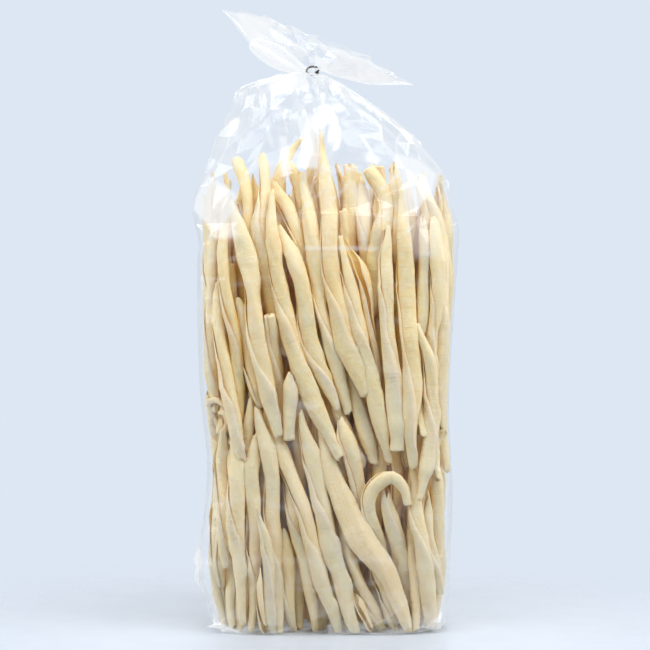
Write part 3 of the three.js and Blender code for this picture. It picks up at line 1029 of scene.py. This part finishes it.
def crushed(place, turn):
    """How much the film is crushed, from 0 to 1."""
    most = np.zeros_like(place)
    for crush in CRUSHES:
        off_turn = (np.mod(turn - crush.turn + 0.5, 1) - 0.5) / crush.turn_spread
        off_place = (place - crush.place) / crush.place_spread
        most = np.maximum(most, np.exp(-(off_turn**2) - off_place**2))
    return most


# The sheets of film: the places where each starts and ends, its rows of cells, and the level of its
# large facets.
Sheet = namedtuple("Sheet", "start end cells level")
SHEETS = {
    "film_body": Sheet(PLACE["base"], PLACE["throat"], 18, 0),
    "film_mouth": Sheet(PLACE["throat"], PLACE["mouth"], 4, -1),
}
BASE_ROWS = 2**FINEST  # of the lattice, that close the base
BASE_RISE = 0.5  # of the closed base over the floor
LOWEST = 0.05
SHARP_ANGLE = math.radians(2)  # the film is shaded flat where it folds by more
HEM = 8  # rows at a sheet's ends, over which its creases die out


def along_sheet(row, sheet):
    """The place of a row of the sheet's lattice, its creasing, and 1 away from the sheet's ends."""
    rows = sheet.cells * 2**FINEST
    place = sheet.start + (sheet.end - sheet.start) * row / rows
    return place, row_at(CREASING, place), ease(row, 0, HEM) * ease(rows - row, 0, HEM)


def off_side(turn):
    """How far a turn is from the nearer side of the bag."""
    return np.abs(np.mod(turn, 0.5) - 0.25)


def creased_skin(column, row, sheet):
    """Points of the creased film at columns and rows of its lattice."""
    rows = sheet.cells * 2**FINEST
    row = np.clip(row, 0, rows)
    _, amount, hem = along_sheet(row, sheet)
    seed = 10 * sheet.start
    jog = 2.0**FINEST * amount.jog * hem
    turn = (column + jog * crumpled(column, row, seed + 1, (1, 0.4, 0.1))) / COLUMNS
    shift = jog * crumpled(column, row, seed + 2, (0.8, 0.3, 0.1))
    place, *_ = along_sheet(np.clip(row + shift, 0, rows), sheet)
    pinch = amount.broad * folded(column, 1, 3.0) + amount.fine * folded(column, 2, 4.0)
    facet = 0.5 + 0.5 * hem * crumpled(column, row, seed + 3, (0.6, 0.3, 0.08, 0.02))
    pinch = (pinch + amount.facets * facet) * (0.25 + 0.75 * ease(off_side(turn), 0.0, 0.08))
    if sheet.start == 0:
        rough = crumpled(column, row, seed + 4, (0, 0.2, 0.5, 0.3))
        pinch = pinch + 0.13 * crushed(place, turn) * (rough - 0.12)
    points = skin(place, turn, pinch + 0.012 * wrinkles(place, turn))
    if sheet.start == PLACE["throat"]:
        points[:, 1] *= 1 - 0.55 * (1 - ease(off_side(turn), 0.0, 0.13)) * ease(row / rows, 0, 0.5)
    return points


def crease_lines(column, row, level, seed):
    """Thin lines along some of the edges of the facets of that level, from 0 to 1."""
    step = 2 ** (FINEST - level)
    i, j = np.floor(column / step), np.floor(row / step)
    upward = (np.mod(column, step) == 0) * ease(scatter(i, np.floor(j / 2), seed), 0.62, 0.9)
    round_bag = (np.mod(row, step) == 0) * 0.35 * ease(scatter(i, j, seed + 1), 0.75, 1)
    slanting = (np.mod(column - row, step) == 0) * ease(scatter(i, j, seed + 2), 0.7, 0.95)
    return np.maximum(np.maximum(upward, slanting), round_bag)


def flattened(column, row, level, sheet):
    """The creased film with every facet of that level made flat."""
    step = 2.0 ** (FINEST - level)
    (i, x), (j, y) = cell(column / step), cell(row / step)

    def corner(di, dj):
        return creased_skin((i + di) * step, (j + dj) * step, sheet)

    return on_facet(x[:, None], y[:, None], corner)


def patches(column, row, span, seed):
    """Another number from 0 to 1 for each half cell of a lattice with that span."""
    half = 0.5 * (np.mod(column, span) > np.mod(row, span))
    return scatter(np.floor(column / span) + half, np.floor(row / span), seed)


def film_shape(sheet):
    """How a grid is wrapped into that sheet of film."""
    rows = sheet.cells * 2**FINEST
    closing = BASE_ROWS if sheet.start == PLACE["base"] else 0

    def shape(u, v):
        column = np.round((u + 0.5) * COLUMNS)  # the seam runs up the back
        row = np.round(v * (rows + closing)) - closing
        inside = np.clip(row, 0, rows)
        place, amount, hem = along_sheet(inside, sheet)
        flat = (amount.flat * hem)[:, None]
        large = flattened(column, inside, sheet.level, sheet)
        small = flattened(column, inside, 1, sheet)
        points = creased_skin(column, inside, sheet)
        broad = 0.6 * ease(place, PLACE["chest"], PLACE["shoulder"])[:, None]
        points = points * (1 - flat) + flat * (broad * large + (1 - broad) * small)
        span = 16 * 2.0**-sheet.level
        raised = row + span * scatter(np.floor(column / span), 0 * row, 2.0)
        patch = 0.6 * patches(column, raised, span, sheet.start)
        patch = patch + 0.4 * patches(column, row, 8, 5.0)
        turn = column / COLUMNS
        finer = min(sheet.level + 1, 1)
        lines = crease_lines(column, row, finer, 3.0) + crease_lines(column, row, finer - 1, 4.0)
        # Haze, partly real and partly a painted glow, in random patches; along the slack rolls it
        # is a painted reflection.
        haze = amount.haze * (0.15 + 1.3 * ease(patch, 0.32, 0.8)) + 0.22 * wrinkles(place, turn)
        # Bright crease lines: partly the creases' own white, partly painted highlight.
        haze = haze + amount.line * lines * hem
        # The mouth's open edge is hazed white with painted glow.
        haze = haze + 0.9 * (sheet.start > 0) * ease(inside, rows - 1.5, rows)
        # Painted reflection: a pale band down each side of the bag.
        haze = haze + 0.25 * ease(0.12 - off_side(turn), 0, 0.08) * ease(place, 0, 0.5)
        # Painted glints where the film is crushed at the foot.
        if sheet.start == 0:
            painted_glint = ease(crumpled(column, row, 60.0, (0, 0.1, 0.4, 0.5)), 0.35, 0.6)
            haze = haze + crushed(place, turn) * (0.2 + 0.7 * patch + lines + 1.6 * painted_glint)
        shut = np.clip(-row / BASE_ROWS, 0, 1)
        # Painted highlight patches; the film just before the clip is kept clear.
        haze = np.maximum(haze, painted_highlights(points)) * (1 - before_clip(points))
        dent = 0.5 * crumpled(column, row, 90.0, (0, 0.5, 0.3, 0.2)) * (4 * shut * (1 - shut))
        points[:, :2] *= (1 - shut)[:, None]
        points[:, 2] = np.where(row < 0, BASE_RISE + dent, np.maximum(points[:, 2], LOWEST))
        return points, haze, np.clip(3 * amount.fine, 0, 1)

    return shape


# Painted highlights, flat patches of the film's front hazed white with painted glow: how hazy, how
# soft their edges are, and their corners as x and z, clockwise.
HighlightPatch = namedtuple("HighlightPatch", "haze soft corners")
PAINTED_HIGHLIGHTS = [
    # the left shoulder
    HighlightPatch(1.7, 1, [(-60, 181), (-51, 195), (-48, 193.5), (-38, 186.5), (-40, 178), (-47, 170)]),
    HighlightPatch(0.9, 3, [(-53, 166), (-50, 184), (-39, 187), (-35, 178), (-38, 167)]),
    HighlightPatch(1.0, 0.6, [(-42, 217.5), (-37.5, 219.5), (-37.5, 208), (-42, 211)]),
    HighlightPatch(0.3, 2, [(-36, 219.5), (-28, 221.5), (-32, 207.5), (-37.5, 208)]),
    # the middle
    HighlightPatch(1.7, 0.6, [(-27.5, 228), (-25.5, 228), (-23.5, 209), (-20.5, 200), (-25, 209)]),
    HighlightPatch(1.5, 0.6, [(-21, 211), (-17.5, 211), (-15.5, 187), (-19, 195)]),
    HighlightPatch(0.7, 2, [(-16, 227), (-9.5, 226), (-10, 217.5), (-17, 212.5)]),
    HighlightPatch(1.6, 1.5, [(-9, 221), (-4, 221), (-3, 209), (-3.5, 196.5), (-13.5, 197.5), (-11, 210)]),
    HighlightPatch(1.7, 3, [(-29, 239), (-9, 238), (-7.5, 229), (-26, 228)]),
    HighlightPatch(1.6, 0.6, [(-3.5, 230), (-1, 230), (-1, 212), (-3, 210)]),
    HighlightPatch(1.4, 0.6, [(-0.5, 226), (4, 218), (5.5, 209.5), (3.5, 204), (0, 208)]),
    HighlightPatch(1.2, 1, [(1.5, 227), (7, 225), (9, 222.5), (4, 221)]),
    HighlightPatch(0.8, 1, [(-3.5, 198.5), (14.5, 199), (14.5, 196), (-3.5, 194.5)]),
    HighlightPatch(0.25, 1.5, [(-3.8, 205), (2.5, 205), (2.5, 160), (-3.8, 158)]),
    HighlightPatch(0.7, 0.4, [(-10, 164.6), (21, 164.2), (21, 162.8), (-10, 163)]),
    HighlightPatch(0.6, 1, [(16, 205), (23, 201.5), (17.5, 196), (15.5, 197)]),
    HighlightPatch(0.7, 0.8, [(9, 191), (19.5, 190), (16, 164), (14.3, 163)]),
    HighlightPatch(0.7, 0.8, [(22.5, 184), (27, 184), (27, 175), (22.5, 175)]),
    # the right shoulder
    HighlightPatch(0.7, 2, [(11.5, 221), (23, 218), (34, 208), (28, 208), (19, 215.5)]),
    HighlightPatch(1.1, 0.6, [(26.3, 219), (27.3, 220), (49.5, 197), (48.5, 195.5)]),
    HighlightPatch(
        1.6, 2, [(28, 205), (40, 201.5), (50, 193.5), (45.5, 188), (43, 178), (33, 178), (28, 199)]
    ),
    HighlightPatch(0.6, 4, [(27, 182), (32, 192), (49, 190), (49, 158), (35, 158)]),
    # the fan and the loose end beside it
    HighlightPatch(2.1, 0.6, [(-41, 265), (-21, 260), (-28.5, 252.5), (-34, 250.5), (-36.5, 256.5)]),
    HighlightPatch(1.8, 0.6, [(-20.5, 259.5), (-14.5, 254.5), (-23, 255)]),
    HighlightPatch(1.8, 0.6, [(-44.5, 263), (-41, 260), (-34.5, 250), (-37, 250)]),
    HighlightPatch(1.7, 0.6, [(0, 250), (14, 244.5), (14.5, 236.5), (5, 240)]),
    HighlightPatch(2.0, 0.6, [(17, 237.5), (26, 236), (35, 232.5), (19, 231)]),
    # over a gap between the tiers, and the folds at the corners of the base
    HighlightPatch(0.4, 1, [(-14, 95.3), (-14, 99.5), (-4, 99.5), (-4, 95.3)]),
    HighlightPatch(1.5, 0.8, [(-46.5, 2), (-46.5, 5.5), (-38, 1.8), (-38, 0.3)]),
    HighlightPatch(1.7, 0.8, [(43.2, 4.6), (49, 9.6), (48.2, 4.6)]),
]


def painted_highlights(points):
    """How hazy the painted highlight patches make the film at points of its front."""
    most = np.zeros(len(points))
    for veil in PAINTED_HIGHLIGHTS:
        corners = np.array(veil.corners, float)
        side = unit(np.roll(corners, -1, axis=0) - corners)
        off = points[:, None, [0, 2]] - corners
        inside = (off[..., 0] * side[:, 1] - off[..., 1] * side[:, 0]).min(1)
        most = np.maximum(most, veil.haze * ease(inside, -0.5, veil.soft))
    return most * ease(-points[:, 1], 0, 4)


def before_clip(points):
    """Where the film lies just before the clip's upper half, from 0 to 1: there it is clear."""
    x, y, z = points.T
    rise = z - CLIP_MIDDLE.z - 0.3 * (x - CLIP_MIDDLE.x)
    above = ease(rise, 0, 0.8) * ease(CLIP_HIGH.z + 3 - z, 0, 1.5)
    return above * ease(4.6 - np.abs(x - CLIP_MIDDLE.x), 0, 1.2) * ease(-y, 1.6, 2.6)


# The loose end of film beside the clip: x, y and z along its middle, half its width and thickness.
LOOSE_END = [
    (-9.6, -2.0, 239.2, 1.4, 1.2),
    (-15, -5.0, 241.6, 3.4, 2.2),
    (-22, -7.0, 245.6, 4.6, 2.4),
    (-29, -7.5, 249.4, 3.8, 1.8),
    (-33.5, -7.5, 251.6, 2.2, 0.9),
]
LOOSE_END_GRID = (60, 40)
LOOSE_FOLDS = 5


def loose_end_shape(u, v):
    """How a grid is wrapped into the gathered loose end of film beside the clip."""
    shares = (v, np.minimum(v + 0.01, 1), np.maximum(v - 0.01, 0))
    row, ahead, behind = (spline(LOOSE_END, share * (len(LOOSE_END) - 1)) for share in shares)
    along = unit((ahead - behind)[:, :3])
    up = unit(np.stack([-along[:, 2], 0 * v, along[:, 0]], -1))
    turn = u * FULL_TURN
    folds = 1 + 0.16 * np.sin(LOOSE_FOLDS * turn + 2 * v) * ease(v, 0, 0.4)
    shut = np.sqrt(1 - ease(v, 0.86, 1) ** 2)
    high = row[:, 3] * np.cos(turn) * folds * shut
    deep = row[:, 4] * np.sin(turn) * folds * shut
    points = row[:, :3] + high[:, None] * up
    points[:, 1] += deep
    # The loose end is hazed white with painted glow, brighter along its folds.
    return points, 1.4 + 0.3 * np.sin(LOOSE_FOLDS * turn), 0.5 + 0 * v


# ---- Settings ----


def colour(name, description, default):
    kind = {"subtype": "COLOR", "min": 0, "max": 1}
    return FloatVectorProperty(name=name, description=description, default=default, **kind)


def share(name, description, default):
    kind = {"subtype": "FACTOR", "min": 0, "max": 1}
    return FloatProperty(name=name, description=description, default=default, **kind)


def brightness(name, description, default):
    return FloatProperty(name=name, description=description, default=default, min=0)


class PastaSettings(bpy.types.PropertyGroup):
    """The fusilli."""

    plain: colour("Dough", "Colour of the dried dough", (0.93, 0.745, 0.445))
    # Pale is also painted in as haze over the lower tier and as light on the heads.
    pale: colour("Floury dough", "Colour where the dough is thin or floury", (0.95, 0.84, 0.63))
    deep: colour("Dark dough", "Colour of the darkest patches", (0.92, 0.69, 0.355))
    # Painted shade: warm on the flanks and further in, shaded on the innermost fusilli and inside
    # the roll.
    painted_warm_shade: colour("Warm dough", "Colour where light passes between two fusilli", (0.86, 0.6, 0.14))
    shaded: colour("Shaded dough", "Colour of the innermost fusilli", (0.76, 0.4, 0.05))
    relief: share("Relief", "Strength of the fine lines and grain of the surface", 1.0)
    softness: share("Softness", "How far light soaks into the dough", 0.45)
    seed: IntProperty(name="Seed", description="Another number lays them another way", default=7)


class FilmSettings(bpy.types.PropertyGroup):
    """The clear film."""

    shine: share("Shine", "Share of the light that the film mirrors face-on", 0.006)
    # Haze is partly real and partly a painted glow; glow is the share of it that is painted glow,
    # given off by the film itself.
    haze: share("Haze", "Share of the light that the film scatters", 0.001)
    painted_glow_share: share("Glow", "Share of the hazed film's light that comes through it", 0.85)
    roughness: share("Roughness", "Roughness of the film's gloss", 0.07)


class WireSettings(bpy.types.PropertyGroup):
    """The wire clip."""

    dark: colour("Wire", "Colour of the wire", (0.07, 0.06, 0.055))
    bright: colour("Rubbed wire", "Colour where the wire is rubbed bright", (0.42, 0.41, 0.4))


class StageSettings(bpy.types.PropertyGroup):
    """The floor, the lights and the camera."""

    floor: colour("Floor", "Colour of the floor", (0.6, 0.65, 0.72))
    polish: share("Floor polish", "Share of the light that the floor mirrors", 0.18)
    backdrop: colour("Backdrop", "Colour of the backdrop", (0.723, 0.799, 0.896))
    fill: brightness("Fill light", "Brightness of the room around the object", 0.2)
    mirrored: brightness("Mirrored room", "Brightness of the room that the film mirrors", 0.8)
    key: brightness("Softboxes", "Brightness of the softboxes", 2.0)
    distance: FloatProperty(
        name="Camera distance",
        description="Distance from the camera to the front of the bag",
        unit="LENGTH",
        min=0.3,
        default=1.2,
    )


# ---- Fusilli: all of them ----

TIERS = {"upper": (UPPER_TIER, UPPER_FRONT), "lower": (LOWER_TIER, LOWER_FRONT)}
FRONT_STEP, BACK_STEP = 1.9, 2.6  # between the rings of points along a fusillo
FEWEST_RINGS, MOST_RINGS = 26, 64
STEPS, QUICK_STEPS = 72, 8  # of settling
WIDE_REACH = 4.0  # the most room that a wide open strip takes up to each side
FLOOR_CLEARANCE = 0.6


def laid_fusilli(rng):
    """All fusilli, settled: the tier of each, if it is in the front row, itself and its nodes."""
    laid = []
    for name, (tier, front) in TIERS.items():
        laid += [(name, True, fusillo, front_nodes(fusillo)) for fusillo in front]
        for ring in RINGS:
            laid += [(name, False, *made) for made in ring_fusilli(ring, tier, rng)]
    names, held, fusilli, nodes = zip(*laid)
    share = np.linspace(0, 1, NODES)
    radii = np.array([fusillo.girth / 2 * girth_profile(fusillo, share) for fusillo in fusilli])
    wide = np.array([fusillo.wrap < OPEN_WRAP for fusillo in fusilli])
    radii[wide] = np.minimum(radii[wide], WIDE_REACH)
    nodes = settle(np.array(nodes), radii, np.array(held), STEPS)
    return zip(names, held, fusilli, nodes)


def make_pieces_of_pasta(settings):
    """The rolled strips of each piece, by its name."""
    rng = np.random.default_rng(settings.seed)
    pieces = {}
    for tier_name, is_front, fusillo, path in laid_fusilli(rng):
        centre = path.mean(0)
        outward = np.array([centre[0] * 0.45, centre[1], 0.0])
        outward = outward / max(np.linalg.norm(outward), 1e-6)
        if is_front:
            outward = np.array([0.25 * centre[0] / BAG_HIGH.x, -1.0, 0.0])
        length = np.linalg.norm(np.diff(path, axis=0), axis=1).sum()
        rings = length / (FRONT_STEP if is_front else BACK_STEP)
        rings = int(np.clip(rings, FEWEST_RINGS, MOST_RINGS))
        strip = rolled(fusillo, path, outward, rings, rng)
        quads = strip.quads
        if signed_volume(strip.points, quads) < 0:
            quads = quads[:, ::-1]
        points = pressed_in(strip.points)
        points[:, 2] = np.maximum(points[:, 2], FLOOR_CLEARANCE)
        # Depth sets the painted shade: darker and warmer further in the bag and on the flanks.
        depth = np.maximum(-beyond_film(points)[0] - stand_off(points), 0)
        depth += FLANK_DEPTH * strip.depth * ease(depth, 0, 2.5)
        tone = np.full(len(points), rng.uniform(0, 1))
        side = "row" if is_front else "front" if centre[1] < 0 else "back"
        part = strip._replace(points=points, quads=quads, depth=depth, tone=tone)
        pieces.setdefault(f"fusilli_{tier_name}_{side}", []).append(part)
    return pieces


# ---- Operators ----


class FUSILLI_OT_pasta(bpy.types.Operator):
    """Roll the fusilli and settle them into the bag"""

    bl_idname = "fusilli.pasta"
    bl_label = "Fusilli"

    def execute(self, context):
        settings = context.scene.fusilli_pasta
        material = dough_material(settings)
        for name, parts in make_pieces_of_pasta(settings).items():
            piece = joined_piece(name, parts, material)
            stands_for_bag(piece)
        return {"FINISHED"}


CORE_GRID = (238, 60)
CORE_HEIGHTS = (4.0, 150.0)
CORE_INSET_X, CORE_INSET_Y = 0.42, 0.62  # how far in from the film, as shares
CORE_RIDGES = 34
CORE_CAP = 0.1  # the share of the grid's rows that closes each end


def core_shape(u, v):
    """How a grid is wrapped into the ridged core behind the fusilli."""
    low, high = place_at_height(np.array(CORE_HEIGHTS))
    height = low + np.clip((v - CORE_CAP) / (1 - 2 * CORE_CAP), 0, 1) * (high - low)
    shut = np.clip(1 - v / CORE_CAP, 0, 1) + np.clip((v - (1 - CORE_CAP)) / CORE_CAP, 0, 1)
    sway = 1.2 * swell(u * 17, v * 5, 1.0, 17)
    ridge = 0.05 * np.abs(np.sin(u * CORE_RIDGES * math.pi + sway))
    points = skin(height, u)
    points[:, 0] *= (1 - CORE_INSET_X - ridge) * (1 - shut)
    points[:, 1] *= (1 - CORE_INSET_Y - ridge) * (1 - shut)
    points[:, 2] += 6 * shut * (v > 0.5)
    return points, 0 * u, 0 * u


class FUSILLI_OT_core(bpy.types.Operator):
    """Add the core of fusilli at the heart of the bag"""

    bl_idname = "fusilli.core"
    bl_label = "Core"

    def execute(self, context):
        material = core_material(context.scene.fusilli_pasta)
        piece = wrapped_sheet("fusilli_core", *CORE_GRID, core_shape, material)
        stands_for_bag(piece)
        return {"FINISHED"}


class FUSILLI_OT_film(bpy.types.Operator):
    """Wrap the fusilli in clear film"""

    bl_idname = "fusilli.film"
    bl_label = "Film"

    def execute(self, context):
        material = film_material(context.scene.fusilli_film)
        for name, sheet in SHEETS.items():
            along = sheet.cells * 2**FINEST + BASE_ROWS * (sheet.start == PLACE["base"])
            shape = film_shape(sheet)
            piece = wrapped_sheet(name, COLUMNS, along, shape, material, SHARP_ANGLE)
            stands_for_bag(piece)
        piece = wrapped_sheet("film_loose_end", *LOOSE_END_GRID, loose_end_shape, material)
        stands_for_bag(piece)
        return {"FINISHED"}


class FUSILLI_OT_clip(bpy.types.Operator):
    """Finish the wire clip"""

    bl_idname = "fusilli.clip"
    bl_label = "Clip"

    def execute(self, context):
        clip = bpy.data.objects["clip"]
        dress(clip, wire_material(context.scene.fusilli_wire))
        return {"FINISHED"}


# The camera's view: its middle and its width at the bag's front, and how far it looks down.
VIEW_MIDDLE = Vector((-1.3, 0, 131.5))
VIEW_WIDTH = 273
VIEW_PITCH = math.radians(2.5)
SENSOR = 36
FLOOR_RADIUS = 1.1


def add_softbox(name, place, aim, size, radiance):
    """A softbox of that radiance; the power that gives it grows with its area."""
    data = bpy.data.lights.new(name, "AREA")
    data.shape = "RECTANGLE"
    data.size, data.size_y = size
    data.energy = radiance * math.pi * size[0] * size[1]
    light = bpy.data.objects.new(name, data)
    light.location = place
    light.rotation_euler = (Vector(aim) - Vector(place)).to_track_quat("-Z", "Y").to_euler()
    bpy.context.collection.objects.link(light)


class FUSILLI_OT_stage(bpy.types.Operator):
    """Set up the floor, the lights and the camera"""

    bl_idname = "fusilli.stage"
    bl_label = "Stage"

    def execute(self, context):
        settings = context.scene.fusilli_stage
        deselect_all()
        bpy.ops.mesh.primitive_circle_add(vertices=96, radius=FLOOR_RADIUS, fill_type="NGON")
        floor = context.object
        floor.name = "studio_floor"
        dress(floor, floor_material(settings))

        world = bpy.data.worlds.new("Studio")
        world.use_nodes = True
        context.scene.world = world
        s = Shader(world)
        seen = s.out("LightPath", "Is Camera Ray")
        mirrored = s.out("LightPath", "Is Glossy Ray")
        pale = (0.93, 0.96, 1.0, 1)
        strength = settings.mirrored * mirrored + (1 - mirrored) * settings.fill
        room = s.out("Background", 0, None, {"Color": pale, "Strength": strength})
        backdrop = s.out("Background", 0, None, {"Color": opaque(settings.backdrop)})
        s.node("OutputWorld", None, {"Surface": s.laid_over(seen, room, backdrop)})

        aim = (0, 0, 0.13)
        key = settings.key
        add_softbox("softbox_left", (-0.62, -0.58, 0.58), aim, (0.45, 0.55), key * 1.9)
        add_softbox("softbox_right", (0.66, -0.52, 0.56), aim, (0.45, 0.55), key * 1.6)
        for side, strength in ((-1, 2.1), (1, 1.7)):
            add_softbox("softbox_side", (0.8 * side, 0.03, 0.3), aim, (0.4, 0.5), key * strength)
        add_softbox("softbox_top", (0.08, -0.22, 0.56), (0, 0, 0.18), (0.5, 0.3), key * 2.3)
        add_softbox("softbox_back", (0, 1.1, 0.6), aim, (1.2, 0.6), key * 2.0)

        camera = bpy.data.objects.new("camera", bpy.data.cameras.new("camera"))
        front = Vector((VIEW_MIDDLE.x, BAG_LOW.y, VIEW_MIDDLE.z)) * MM
        away = Vector((0, -math.cos(VIEW_PITCH), math.sin(VIEW_PITCH)))
        camera.location = front + away * settings.distance
        camera.rotation_euler = (math.pi / 2 - VIEW_PITCH, 0, 0)
        camera.data.sensor_width = SENSOR
        camera.data.lens = SENSOR * settings.distance / (VIEW_WIDTH * MM)
        context.collection.objects.link(camera)
        context.scene.camera = camera
        context.scene.view_settings.view_transform = "Standard"
        cycles = context.scene.cycles
        cycles.max_bounces = 16
        cycles.diffuse_bounces = 8
        cycles.transparent_max_bounces = 32
        return {"FINISHED"}


class FUSILLI_PT_panel(bpy.types.Panel):
    """Sizes and colours of the bagged fusilli"""

    bl_idname = "FUSILLI_PT_panel"
    bl_label = "Bagged Fusilli"
    bl_space_type = "VIEW_3D"
    bl_region_type = "UI"
    bl_category = "Fusilli"

    def draw(self, context):
        groups = [
            (context.scene.fusilli_pasta, ["fusilli.pasta", "fusilli.core"]),
            (context.scene.fusilli_film, ["fusilli.film"]),
            (context.scene.fusilli_wire, ["fusilli.clip"]),
            (context.scene.fusilli_stage, ["fusilli.stage"]),
        ]
        for group, operators in groups:
            column = self.layout.column()
            for name in group.__annotations__:
                column.prop(group, name)
            for operator in operators:
                column.operator(operator)


GROUPS = {
    "fusilli_pasta": PastaSettings,
    "fusilli_film": FilmSettings,
    "fusilli_wire": WireSettings,
    "fusilli_stage": StageSettings,
}
OPERATORS = [
    FUSILLI_OT_pasta,
    FUSILLI_OT_core,
    FUSILLI_OT_film,
    FUSILLI_OT_clip,
    FUSILLI_OT_stage,
]


def register():
    for cls in [*GROUPS.values(), *OPERATORS, FUSILLI_PT_panel]:
        bpy.utils.register_class(cls)
    for name, group in GROUPS.items():
        setattr(bpy.types.Scene, name, PointerProperty(type=group))


def unregister():
    for name in GROUPS:
        delattr(bpy.types.Scene, name)
    for cls in [FUSILLI_PT_panel, *reversed(OPERATORS), *reversed(list(GROUPS.values()))]:
        bpy.utils.unregister_class(cls)


def main():
    register()
    bpy.ops.fusilli.stage()
    bpy.ops.fusilli.core()
    bpy.ops.fusilli.pasta()
    bpy.ops.fusilli.film()
    bpy.ops.fusilli.clip()


if __name__ == "__main__":
    main()
